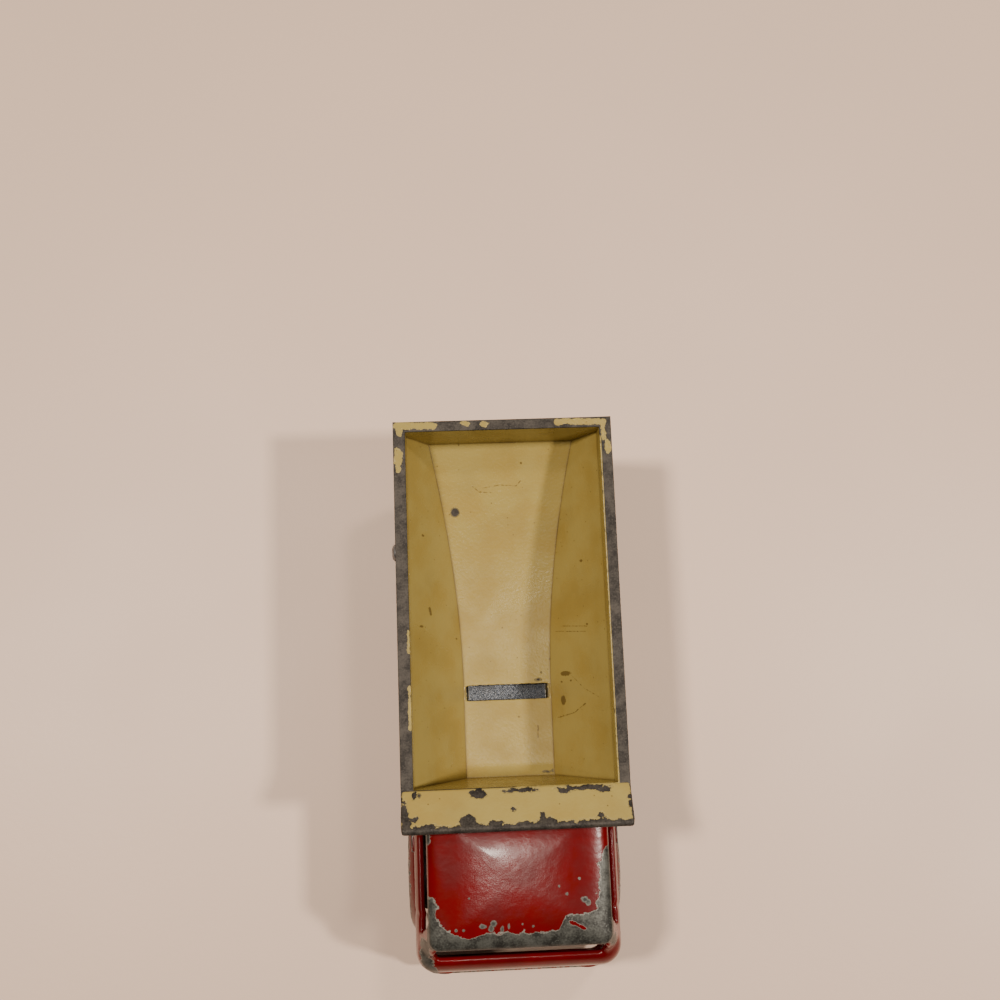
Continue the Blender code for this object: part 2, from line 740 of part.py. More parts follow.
def build_hopper(finish):
    hopper = make("hopper", hopper_outer(), finish, (0, PIN_Y, PIN_Z))
    add(hopper, shield(), "shield")
    add(hopper, both_sides(ribs), "ribs")
    add(hopper, both_sides(hinge_lug), "hinge_lugs")
    add(hopper, both_sides(guide_rail), "guide_rails")
    cut(hopper, hopper_inside(), "inside")
    low = (-SLOT_HALF_WIDTH, SLOT_FRONT_Y, UNDERSIDE - 0.4)
    cut(hopper, block(low, (SLOT_HALF_WIDTH, SLOT_REAR_Y, FLOOR_Z + 1)), "slot")
    bore = rod("X", PIN_RADIUS + RUNNING, -2 * LUG_X, 2 * LUG_X, (PIN_Y, PIN_Z))
    cut(hopper, bore, "pin_bore")
    cut(hopper, keeper_rivet_holes(KEEPER_TOP - 1, UNDERSIDE - 0.2), "rivet_holes")
    return hopper


def build_gate(finish):
    """A plate under the slot, with a tongue and a pull tab at the tail."""
    tongue, tab = 2.0, 2.5
    end = TAIL_Y - 0.35
    plate_rear = KEEPER_REAR_Y + 1.3
    right = [
        (GATE_HALF_WIDTH, SLOT_FRONT_Y - GATE_LAP),
        (GATE_HALF_WIDTH, plate_rear - 1.2),
        (GATE_HALF_WIDTH - 1.2, plate_rear),
        (tongue, plate_rear + 0.8),
        (tongue, end - 2.4),
        (tab, end - 1.6),
        (tab, end),
    ]
    outline = right + [(-x, y) for x, y in reversed(right)]
    start = (0, SLOT_FRONT_Y, GATE_BOTTOM)
    gate = make("gate_slide", prism(outline, "Z", GATE_BOTTOM, GATE_TOP), finish, start)
    pull = block((-tab, end - 0.9, PIN_Z + 0.3), (tab, end, GATE_BOTTOM + 0.4))
    add(gate, pull, "pull_tab")
    return gate


def build_keeper(finish):
    low = (-KEEPER_HALF_WIDTH, KEEPER_FRONT_Y, KEEPER_BOTTOM)
    body = block(low, (KEEPER_HALF_WIDTH, KEEPER_REAR_Y, KEEPER_TOP))
    keeper = make("gate_keeper", body, finish, (0, PIN_Y, PIN_Z))
    window = GATE_HALF_WIDTH - 0.6
    low = (-window, SLOT_FRONT_Y - 0.6, KEEPER_BOTTOM - 1)
    cut(keeper, block(low, (window, SLOT_REAR_Y + 0.6, KEEPER_TOP + 1)), "window")
    cut(keeper, keeper_rivet_holes(KEEPER_BOTTOM - 1, KEEPER_TOP + 1), "rivet_holes")
    return keeper


def build_keeper_rivet(side, word, finish):
    """A small shank through the keeper, with a flat head under it."""
    seat, top = KEEPER_BOTTOM - 0.03, UNDERSIDE - 0.3
    head = KEEPER_RIVET_RADIUS + 0.2
    profile = [(seat - 0.12, 0), (seat - 0.12, head - 0.06), (seat, head)]
    profile += [(seat, KEEPER_RIVET_RADIUS), (top, KEEPER_RIVET_RADIUS), (top, 0)]
    body = turned(profile, SMALL_SEGMENTS, (side * keeper_rivet_x(), keeper_rivet_y()), "Z")
    return make(f"keeper_rivet_{word}", body, finish, (0, PIN_Y, PIN_Z))


def build_hinge_pin(finish):
    """A pin through the frame's ears and the hopper's lugs, spread at both ends."""
    end = LUG_X + LUG_THICKNESS + SEAT
    head = [(end, PIN_RADIUS + 0.4), (end + 0.35, PIN_RADIUS + 0.25), (end + 0.5, 0)]
    half = [(end, PIN_RADIUS), *head]
    profile = [(-x, r) for x, r in reversed(half)] + half
    return make("hinge_pin", turned(profile, SHAFT_SEGMENTS, (PIN_Y, PIN_Z)), finish)


def empty(name, place, parent=None):
    """An empty at a joint, which the pieces that move there hang from."""
    made = bpy.data.objects.new(name, None)
    made.empty_display_size = 3 * MM
    made.location = [co * MM for co in place]
    if parent:
        made.parent = parent
        made.matrix_parent_inverse = parent.matrix_world.inverted()
    bpy.context.scene.collection.objects.link(made)
    bpy.context.view_layer.update()
    return made


def hang(pieces, parent):
    """Parents pieces to an empty where they stand."""
    bpy.context.view_layer.update()
    for piece in pieces:
        piece.parent = parent
        piece.matrix_parent_inverse = parent.matrix_world.inverted()


def main():
    for obj in list(bpy.data.objects):
        bpy.data.objects.remove(obj, do_unlink=True)
    red = material("red_paint", RED, 0.3, 0.0)
    cream = material("cream_paint", CREAM, 0.35, 0.0)
    zinc = material("bare_zinc", ZINC, 0.5, 0.9)
    steel = material("steel", STEEL, 0.4, 1.0)
    rubber = material("black_rubber", BLACK, 0.7, 0.0)
    hub_grey = material("hub_grey", GREY, 0.5, 0.0)

    truck = empty("truck", (0, 0, 0))
    pieces = [build_cab(red), build_chassis(red), build_base_plate(zinc)]
    top = CAB_FOOT_BOTTOM + 1.1
    pieces.append(build_base_rivet("base_rivet_front", CAB_RIVET_Y, top, zinc))
    top = RAIL_TOP - 0.6
    pieces.append(build_base_rivet("base_rivet_rear", REAR_RIVET_Y, top, zinc))
    front = (FRONT_AXLE_Y, FRONT_WHEEL_X, FRONT_TYRE_WIDTH / 2, FRONT_HEAD_LENGTH, steel)
    rear = (REAR_AXLE_Y, REAR_WHEEL_X, DUAL_WIDTH / 2, REAR_HEAD_LENGTH, steel)
    pieces.append(build_axle("front_axle", *front))
    pieces.append(build_axle("rear_axle", *rear))
    pieces.append(build_hinge_pin(steel))
    pieces += build_wheels(hub_grey, rubber)
    hang(pieces, truck)

    hinge = empty("hopper_hinge", (0, PIN_Y, PIN_Z), truck)
    carried = [build_hopper(cream), build_gate(steel), build_keeper(zinc)]
    for side, word in ((-1, "left"), (1, "right")):
        carried.append(build_keeper_rivet(side, word, zinc))
    hang(carried, hinge)


main()
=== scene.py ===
"""The looks of a small die-cast dump truck: its castings, paint, wear and a plain studio.

Lengths are in millimetres and MM turns them into metres. The truck's front faces -Y, +Z is
up, and the frame's origin is on the ground under the middle of the truck. Every piece is a
surface worked out in that frame, so its object stays at the origin and rides on one body.
"""

import logging
from dataclasses import dataclass, replace
from enum import Enum
from typing import Callable, Sequence

import bmesh
import bpy
import numpy as np
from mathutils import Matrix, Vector


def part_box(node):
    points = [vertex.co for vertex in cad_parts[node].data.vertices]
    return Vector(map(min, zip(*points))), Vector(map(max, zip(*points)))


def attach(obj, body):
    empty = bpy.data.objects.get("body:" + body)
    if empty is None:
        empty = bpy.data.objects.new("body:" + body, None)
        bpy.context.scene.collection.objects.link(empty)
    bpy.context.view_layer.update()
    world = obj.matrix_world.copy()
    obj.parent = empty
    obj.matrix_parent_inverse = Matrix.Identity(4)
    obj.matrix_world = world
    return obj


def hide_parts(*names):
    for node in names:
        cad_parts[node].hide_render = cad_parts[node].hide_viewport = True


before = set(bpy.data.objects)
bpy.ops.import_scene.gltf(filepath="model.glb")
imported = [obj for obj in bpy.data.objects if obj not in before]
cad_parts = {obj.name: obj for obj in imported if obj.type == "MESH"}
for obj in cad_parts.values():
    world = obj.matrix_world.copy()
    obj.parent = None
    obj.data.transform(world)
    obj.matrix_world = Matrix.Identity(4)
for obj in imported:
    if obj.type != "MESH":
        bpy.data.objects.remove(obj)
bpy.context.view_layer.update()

MM = 0.001
Array = np.ndarray
LOG = logging.getLogger("dump_truck")


class Body(Enum):
    """The bodies of the frame that pieces ride on."""

    CHASSIS = "chassis"
    HOPPER = "hopper"
    GATE = "gate"
    WHEEL_FRONT_LEFT = "wheel_front_left"
    WHEEL_FRONT_RIGHT = "wheel_front_right"
    WHEEL_REAR_LEFT = "wheel_rear_left"
    WHEEL_REAR_RIGHT = "wheel_rear_right"


class Slot(Enum):
    """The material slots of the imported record."""

    RED = "red_paint"
    CREAM = "cream_paint"
    ZINC = "bare_zinc"
    STEEL = "steel"
    HUB = "hub_grey"
    RUBBER = "black_rubber"


class Axis(Enum):
    """An axis, as the place of its number in a point."""

    X = 0
    Y = 1
    Z = 2


def node_box(node: str) -> tuple[Array, Array]:
    """The lowest and highest corners of a CAD node, in millimetres."""
    low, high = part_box(node)
    return np.array(low) / MM, np.array(high) / MM


# --- Fields and curves ---------------------------------------------------------------
def smooth_step(value: Array, low: float, high: float) -> Array:
    """0 below low, 1 above high, and a smooth S between them."""
    share = np.clip((value - low) / (high - low), 0.0, 1.0)
    return share * share * (3.0 - 2.0 * share)


def ellipse_field(a: Array, b: Array, centre: Sequence[float], radii: Sequence[float]) -> Array:
    """How far inside an ellipse a point is: the smaller radius at the centre, 0 at its edge."""
    reach = np.hypot((a - centre[0]) / radii[0], (b - centre[1]) / radii[1])
    return min(radii) * (1.0 - reach)


def stroke_field(a: Array, b: Array, path: Sequence[Sequence[float]], half: float) -> Array:
    """How far inside a stroke along straight runs a point is: half its width on the line."""
    nearest = np.full(np.shape(a), np.inf)
    for (a0, b0), (a1, b1) in zip(path, path[1:]):
        run = (a1 - a0) ** 2 + (b1 - b0) ** 2
        share = np.clip(((a - a0) * (a1 - a0) + (b - b0) * (b1 - b0)) / run, 0.0, 1.0)
        gap = np.hypot(a - a0 - share * (a1 - a0), b - b0 - share * (b1 - b0))
        nearest = np.minimum(nearest, gap)
    return half - nearest


def arc(centre: Sequence[float], radius: float, start: float, end: float, steps: int) -> Array:
    """Points on an arc from one angle to another, in degrees."""
    turn = np.radians(np.linspace(start, end, steps + 1))
    return np.array(centre) + radius * np.column_stack([np.cos(turn), np.sin(turn)])


def rounded_outline(d_across: Array, d_along: Array, radius: float) -> Array:
    """The distance outside a shape given by two distances, with its corners rounded."""
    a, b = d_across + radius, d_along + radius
    outside = np.hypot(np.maximum(a, 0.0), np.maximum(b, 0.0))
    return outside + np.minimum(np.maximum(a, b), 0.0) - radius


# --- Surfaces ------------------------------------------------------------------------
class Surface:
    """The points and faces of a piece, before they become a mesh."""

    def __init__(self) -> None:
        """Starts with nothing."""
        self.points: list[Array] = []
        self.faces: list[list[int]] = []
        self.count = 0

    def add(self, points: Array, faces: Array | list[list[int]]) -> int:
        """Adds points and the faces between them.

        Args:
            points: Their places, one row each.
            faces: Rows of indices that count from the first of these points.

        Returns:
            The index of the first point added.
        """
        first = self.count
        rows = np.asarray(faces) + first if len(faces) else np.zeros((0, 4), int)
        self.points.append(np.asarray(points, float).reshape(-1, 3))
        self.faces += rows.tolist()
        self.count += len(self.points[-1])
        return first

    def join(self, other: "Surface") -> None:
        """Adds all of another surface."""
        first = self.add(other.all_points(), [])
        self.faces += [[first + index for index in face] for face in other.faces]

    def all_points(self) -> Array:
        """Every point, one row each."""
        return np.concatenate(self.points)


def grid_faces(rows: int, columns: int, around: bool = False, along: bool = False) -> Array:
    """The quads between neighbouring points of a grid, row by row.

    Args:
        rows: How many rows of points there are.
        columns: How many points a row has.
        around: Whether the last column joins the first.
        along: Whether the last row joins the first.

    Returns:
        Four indices for each quad.
    """
    index = np.arange(rows * columns).reshape(rows, columns)
    if around:
        index = np.concatenate([index, index[:, :1]], axis=1)
    if along:
        index = np.concatenate([index, index[:1]], axis=0)
    corners = (index[:-1, :-1], index[:-1, 1:], index[1:, 1:], index[1:, :-1])
    return np.stack(corners, axis=-1).reshape(-1, 4)


def turned(profile: Array, centre: Sequence[float], segments: int, axis: Axis = Axis.X) -> Array:
    """A profile turned about an axis: each (along, radius) point becomes a ring.

    Args:
        profile: Rows of (along the axis, distance from it).
        centre: Where the axis crosses the other two directions, in X, Y, Z order.
        segments: How many points each ring has.
        axis: The axis of the turn.

    Returns:
        Points in an array of profile rows by segments by 3.
    """
    turn = np.linspace(0.0, 2.0 * np.pi, segments, endpoint=False)
    along = np.repeat(profile[:, :1], segments, axis=1)
    first = centre[0] + profile[:, 1:] * np.sin(turn)
    second = centre[1] - profile[:, 1:] * np.cos(turn)
    parts = [first, second]
    parts.insert(axis.value, along)
    return np.stack(parts, axis=-1)


def swept(section: Array, path: Array, sideways: Array, upward: Array) -> Array:
    """A section carried along a path: point = path + sideways * s + upward * t.

    Args:
        section: Rows of (s, t).
        path: The places on the path, one row each.
        sideways: The direction of s at each place.
        upward: The direction of t at each place.

    Returns:
        Points in an array of places by section rows by 3.
    """
    across = sideways[:, None, :] * section[None, :, :1]
    return path[:, None, :] + across + upward[:, None, :] * section[None, :, 1:]


def plate(outline: Array, axis: Axis, low: float, high: float) -> Surface:
    """An outline across an axis, given in X, Y, Z order, carried from low to high."""
    made = Surface()
    count = len(outline)
    rings = [np.insert(outline, axis.value, end, axis=1) for end in (low, high)]
    made.add(np.concatenate(rings), grid_faces(2, count, around=True))
    made.faces += [list(range(count)), list(range(count, 2 * count))]
    return made


# --- Finishing a piece ---------------------------------------------------------------
@dataclass(frozen=True)
class Finishing:
    """How a surface becomes a finished mesh.

    Attributes:
        wall: The thickness that an open skin grows inwards, or 0.
        bevel: The width of the rounding on sharp edges, or 0.
        bevel_angle: The least angle of an edge that is rounded, in degrees.
        smooth: How many times the mesh is subdivided.
        sharp_angle: The least angle of an edge that stays sharp to the light, in degrees.
    """

    wall: float = 0.0
    bevel: float = 0.0
    bevel_angle: float = 35.0
    smooth: int = 0
    sharp_angle: float = 50.0


def closed_mesh(name: str, surface: Surface) -> bpy.types.Mesh:
    """A mesh of a surface, with doubled points merged and its faces pointing out."""
    mesh = bpy.data.meshes.new(name)
    mesh.from_pydata((surface.all_points() * MM).tolist(), [], surface.faces)
    shape = bmesh.new()
    shape.from_mesh(mesh)
    bmesh.ops.remove_doubles(shape, verts=shape.verts, dist=2e-6)
    bmesh.ops.dissolve_degenerate(shape, edges=shape.edges, dist=1e-7)
    bmesh.ops.recalc_face_normals(shape, faces=shape.faces)
    shape.to_mesh(mesh)
    shape.free()
    return mesh


def with_modifiers(obj: bpy.types.Object, finishing: Finishing) -> None:
    """Gives an object its wall, rounded edges and subdivision, and makes them its mesh."""
    if finishing.wall:
        wall = obj.modifiers.new("wall", "SOLIDIFY")
        wall.thickness = finishing.wall * MM
        wall.offset = -1.0
        wall.use_even_offset = True
    if finishing.bevel:
        bevel = obj.modifiers.new("rounding", "BEVEL")
        bevel.width = finishing.bevel * MM
        bevel.segments = 3
        bevel.limit_method = "ANGLE"
        bevel.angle_limit = np.radians(finishing.bevel_angle)
    if finishing.smooth:
        smooth = obj.modifiers.new("smooth", "SUBSURF")
        smooth.levels = finishing.smooth
        smooth.render_levels = finishing.smooth
    if not obj.modifiers:
        return
    graph = bpy.context.evaluated_depsgraph_get()
    baked = bpy.data.meshes.new_from_object(obj.evaluated_get(graph))
    obj.modifiers.clear()
    obj.data = baked


def mesh_points(mesh: bpy.types.Mesh) -> Array:
    """The points of a mesh, in millimetres."""
    flat = np.empty(len(mesh.vertices) * 3)
    mesh.vertices.foreach_get("co", flat)
    return flat.reshape(-1, 3) / MM


def mesh_bend(mesh: bpy.types.Mesh, rounds: int = 2) -> Array:
    """How far the surface bends at each point, in 1/mm: above 0 on edges, below 0 in hollows.

    Along an edge from p to q with normals n and m the bend is (m - n).(q - p) / |q - p|^2. A
    point's bend is the mean over its edges, and each round averages it with its neighbours.
    """
    points = mesh_points(mesh)
    ends = np.empty(len(mesh.edges) * 2, np.int64)
    mesh.edges.foreach_get("vertices", ends)
    start, stop = ends.reshape(-1, 2).T
    normals = np.empty(len(mesh.vertices) * 3)
    mesh.vertex_normals.foreach_get("vector", normals)
    normals = normals.reshape(-1, 3)
    run = points[stop] - points[start]
    rise = ((normals[stop] - normals[start]) * run).sum(axis=1)
    bend_of_edge = rise / np.maximum((run**2).sum(axis=1), 1e-6)
    size = len(points)
    shares = np.bincount(start, minlength=size) + np.bincount(stop, minlength=size)
    total = np.bincount(start, bend_of_edge, size) + np.bincount(stop, bend_of_edge, size)
    bend = total / np.maximum(shares, 1)
    for _ in range(rounds):
        around = np.bincount(start, bend[stop], size) + np.bincount(stop, bend[start], size)
        bend = 0.5 * bend + 0.5 * around / np.maximum(shares, 1)
    return bend


def set_attribute(mesh: bpy.types.Mesh, name: str, values: Array) -> None:
    """Stores one number for each point of a mesh, or for each corner of its faces."""
    domain = "POINT" if len(values) == len(mesh.vertices) else "CORNER"
    layer = mesh.attributes.new(name, "FLOAT", domain)
    layer.data.foreach_set("value", values.astype(np.float32))


def on_narrow_faces(mesh: bpy.types.Mesh, values: Array, width: float) -> Array:
    """Spreads values of points to corners, and keeps them only on faces of a small width.

    A face's width is taken as twice its area over its outline, so the rounded strips along
    edges keep their values and the flat faces between them get 0.
    """
    corners = np.empty(len(mesh.loops), np.int64)
    mesh.loops.foreach_get("vertex_index", corners)
    total = np.empty(len(mesh.polygons), np.int64)
    mesh.polygons.foreach_get("loop_total", total)
    area = np.empty(len(mesh.polygons))
    mesh.polygons.foreach_get("area", area)
    face = np.repeat(np.arange(len(total)), total)
    start = np.cumsum(total) - total
    after = np.arange(len(corners)) + 1
    after[start + total - 1] = start
    points = mesh_points(mesh)
    sides = np.linalg.norm(points[corners] - points[corners[after]], axis=1)
    outline = np.bincount(face, sides, len(total))
    narrow = 2.0 * area / MM**2 / np.maximum(outline, 1e-9) < width
    return values[corners] * narrow[face]


WearField = Callable[[Array, Array], Array]


def no_wear(points: Array, edge: Array) -> Array:
    """Wear on sharp edges only: the field passes 0 where an edge is bent the most."""
    return 0.9 * (edge - 0.75)


def finish_piece(
    name: str,
    mesh: bpy.types.Mesh,
    finishing: Finishing,
    material: bpy.types.Material,
    body: Body,
    replaces: Sequence[str] = (),
    wear: WearField = no_wear,
) -> bpy.types.Object:
    """Makes a mesh a finished piece that rides on a body.

    Args:
        name: The piece's name.
        mesh: Its mesh, in metres.
        finishing: Its wall, rounding and subdivision.
        material: Its finish.
        body: The body that it rides on.
        replaces: The CAD nodes that it stands for.
        wear: Gives how far inside worn paint each point is, in millimetres.

    Returns:
        The finished object.
    """
    obj = bpy.data.objects.new(name, mesh)
    bpy.context.scene.collection.objects.link(obj)
    with_modifiers(obj, finishing)
    done = obj.data
    done.name = name
    bend = mesh_bend(done)
    edge = np.clip(bend / 4.0, 0.0, 1.0)
    worn = wear(mesh_points(done), edge)
    if finishing.bevel:
        edge = on_narrow_faces(done, edge, 0.8 * finishing.bevel)
        worn = on_narrow_faces(done, worn + 2.0, 0.8 * finishing.bevel) - 2.0
    set_attribute(done, "edge", edge)
    set_attribute(done, "hollow", np.clip(-bend / 2.5, 0.0, 1.0))
    set_attribute(done, "wear", worn)
    done.shade_smooth()
    done.set_sharp_from_angle(angle=np.radians(finishing.sharp_angle))
    done.materials.clear()
    done.materials.append(material)
    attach(obj, body.value)
    if replaces:
        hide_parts(*replaces)
    LOG.info("%s: %d faces, on %s", name, len(done.polygons), body.value)
    return obj


def cad_copy(node: str) -> bpy.types.Mesh:
    """A copy of a CAD node's mesh with its loose triangles joined into flat faces."""
    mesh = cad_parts[node].data.copy()
    shape = bmesh.new()
    shape.from_mesh(mesh)
    bmesh.ops.remove_doubles(shape, verts=shape.verts, dist=1e-6)
    bmesh.ops.dissolve_limit(
        shape, angle_limit=np.radians(1.0), verts=shape.verts, edges=shape.edges
    )
    shape.to_mesh(mesh)
    shape.free()
    for attribute in [a.name for a in mesh.attributes if a.name.startswith("custom_normal")]:
        mesh.attributes.remove(mesh.attributes[attribute])
    return mesh


# --- Node trees ----------------------------------------------------------------------
Colour = tuple[float, float, float]
Value = bpy.types.NodeSocket | float | Colour


@dataclass(frozen=True)
class Marks:
    """Small marks seen from above, in millimetres.

    Attributes:
        spots: Ellipses, as (x, y, radius along x, radius along y).
        scratches: Straight runs, as (x, y, x at the end, y at the end, half the width).
    """

    spots: tuple[tuple[float, float, float, float], ...] = ()
    scratches: tuple[tuple[float, float, float, float, float], ...] = ()


class Wiring:
    """Adds nodes to one tree and joins their sockets."""

    def __init__(self, tree: bpy.types.NodeTree) -> None:
        """Takes the tree that the nodes go into."""
        self.tree = tree

    def feed(self, socket: bpy.types.NodeSocket, value: Value) -> None:
        """Joins another socket to this one, or sets its own value."""
        if isinstance(value, bpy.types.NodeSocket):
            self.tree.links.new(value, socket)
        elif isinstance(value, tuple) and socket.type == "RGBA":
            socket.default_value = (*value, 1.0)
        else:
            socket.default_value = value

    def node(self, kind: str, **inputs: Value) -> bpy.types.Node:
        """Adds a node and feeds the inputs that are named, with _ for a space."""
        made = self.tree.nodes.new(kind)
        for name, value in inputs.items():
            self.feed(made.inputs[name.replace("_", " ")], value)
        return made

    def math(self, operation: str, *values: Value) -> bpy.types.NodeSocket:
        """The result of a Math node."""
        made = self.tree.nodes.new("ShaderNodeMath")
        made.operation = operation
        for socket, value in zip(made.inputs, values):
            self.feed(socket, value)
        return made.outputs[0]

    def ramp(self, value: Value, low: Value, high: Value) -> bpy.types.NodeSocket:
        """A smooth step of a value: 0 at low, 1 at high."""
        made = self.tree.nodes.new("ShaderNodeMapRange")
        made.interpolation_type = "SMOOTHSTEP"
        for name, given in (("Value", value), ("From Min", low), ("From Max", high)):
            self.feed(made.inputs[name], given)
        return made.outputs["Result"]

    def span(self, value: Value, low: Value, high: Value) -> bpy.types.NodeSocket:
        """A value from 0 to 1 spread from low to high."""
        made = self.tree.nodes.new("ShaderNodeMapRange")
        for name, given in (("Value", value), ("To Min", low), ("To Max", high)):
            self.feed(made.inputs[name], given)
        return made.outputs["Result"]

    def blend(self, share: Value, first: Value, second: Value) -> bpy.types.NodeSocket:
        """A colour between two, by a share."""
        made = self.tree.nodes.new("ShaderNodeMix")
        made.data_type = "RGBA"
        for index, given in ((0, share), (6, first), (7, second)):
            self.feed(made.inputs[index], given)
        return made.outputs[2]

    def noise(self, place: Value, scale: Value, detail: float = 2.0) -> bpy.types.NodeSocket:
        """Noise from 0 to 1; scale is how many features stand in a millimetre."""
        made = self.node("ShaderNodeTexNoise", Vector=place, Scale=scale, Detail=detail)
        return made.outputs["Fac"]

    def cells(self, place: Value, scale: Value) -> bpy.types.Node:
        """Scattered cells, with the distance from each cell's middle."""
        return self.node("ShaderNodeTexVoronoi", Vector=place, Scale=scale)

    def group(self, tree: bpy.types.NodeTree, **inputs: Value) -> bpy.types.Node:
        """Places a node group and feeds its inputs."""
        made = self.tree.nodes.new("ShaderNodeGroup")
        made.node_tree = tree
        for name, value in inputs.items():
            self.feed(made.inputs[name.replace("_", " ")], value)
        return made

    def vector(self, operation: str, *values: Value) -> bpy.types.Node:
        """A Vector Math node."""
        made = self.tree.nodes.new("ShaderNodeVectorMath")
        made.operation = operation
        for socket, value in zip(made.inputs, values):
            self.feed(socket, value)
        return made

    def marks(self, place: Value, marks: Marks) -> bpy.types.NodeSocket:
        """How far inside the nearest of some marks a place is, in millimetres.

        A spot gives its smaller radius times (1 - the scaled distance from its middle), and a
        scratch gives half its width less the distance from its run.
        """
        found: Value = -9.0
        for x, y, across, along in marks.spots:
            away = self.vector("SUBTRACT", place, (x, y, 0.0)).outputs[0]
            away = self.vector("MULTIPLY", away, (1 / across, 1 / along, 0.0)).outputs[0]
            reach = self.vector("LENGTH", away).outputs["Value"]
            size = min(across, along)
            found = self.math("MAXIMUM", found, self.math("MULTIPLY_ADD", reach, -size, size))
        for x, y, end_x, end_y, half in marks.scratches:
            run = np.array([end_x - x, end_y - y, 0.0])
            flat = self.vector("MULTIPLY", place, (1.0, 1.0, 0.0)).outputs[0]
            away = self.vector("SUBTRACT", flat, (x, y, 0.0)).outputs[0]
            unit = tuple((run / (run @ run)).tolist())
            share = self.vector("DOT_PRODUCT", away, unit).outputs["Value"]
            share = self.math("MINIMUM", self.math("MAXIMUM", share, 0.0), 1.0)
            along_run = self.vector("SCALE", tuple(run.tolist()))
            self.feed(along_run.inputs["Scale"], share)
            gap = self.vector("DISTANCE", away, along_run.outputs[0]).outputs["Value"]
            found = self.math("MAXIMUM", found, self.math("SUBTRACT", half, gap))
        return found

    def facing_up(self) -> bpy.types.NodeSocket:
        """1 where the piece's surface faces up, and 0 where it faces down."""
        normal = self.tree.nodes.new("ShaderNodeTexCoord").outputs["Normal"]
        split = self.node("ShaderNodeSeparateXYZ", Vector=normal)
        return self.ramp(split.outputs["Z"], 0.05, 0.25)

    def millimetres(self) -> bpy.types.NodeSocket:
        """The object's own coordinates, in millimetres."""
        place = self.tree.nodes.new("ShaderNodeTexCoord").outputs["Object"]
        made = self.tree.nodes.new("ShaderNodeVectorMath")
        made.operation = "SCALE"
        self.feed(made.inputs[0], place)
        made.inputs["Scale"].default_value = 1.0 / MM
        return made.outputs[0]

    def attribute(self, name: str) -> bpy.types.NodeSocket:
        """A number stored at the piece's points."""
        made = self.tree.nodes.new("ShaderNodeAttribute")
        made.attribute_name = name
        return made.outputs["Fac"]

    def bump(self, height: Value, depth: float) -> bpy.types.NodeSocket:
        """A normal from a height; depth is in millimetres."""
        made = self.node("ShaderNodeBump", Height=height, Strength=1.0)
        made.inputs["Distance"].default_value = depth * MM
        return made.outputs["Normal"]


def new_group(name: str, inputs: Sequence[str], outputs: Sequence[str]) -> tuple:
    """An empty shader group with named sockets.

    Args:
        name: The group's name.
        inputs: Its inputs: "Vector" is a vector, and any other a number.
        outputs: Its outputs, all numbers.

    Returns:
        The group, its wiring, and the sockets that lead in and out by name.
    """
    tree = bpy.data.node_groups.new(name, "ShaderNodeTree")
    for label in inputs:
        kind = "NodeSocketVector" if label == "Vector" else "NodeSocketFloat"
        tree.interface.new_socket(label, in_out="INPUT", socket_type=kind)
    for label in outputs:
        tree.interface.new_socket(label, in_out="OUTPUT", socket_type="NodeSocketFloat")
    start = tree.nodes.new("NodeGroupInput")
    end = tree.nodes.new("NodeGroupOutput")
    return tree, Wiring(tree), start.outputs, end.inputs


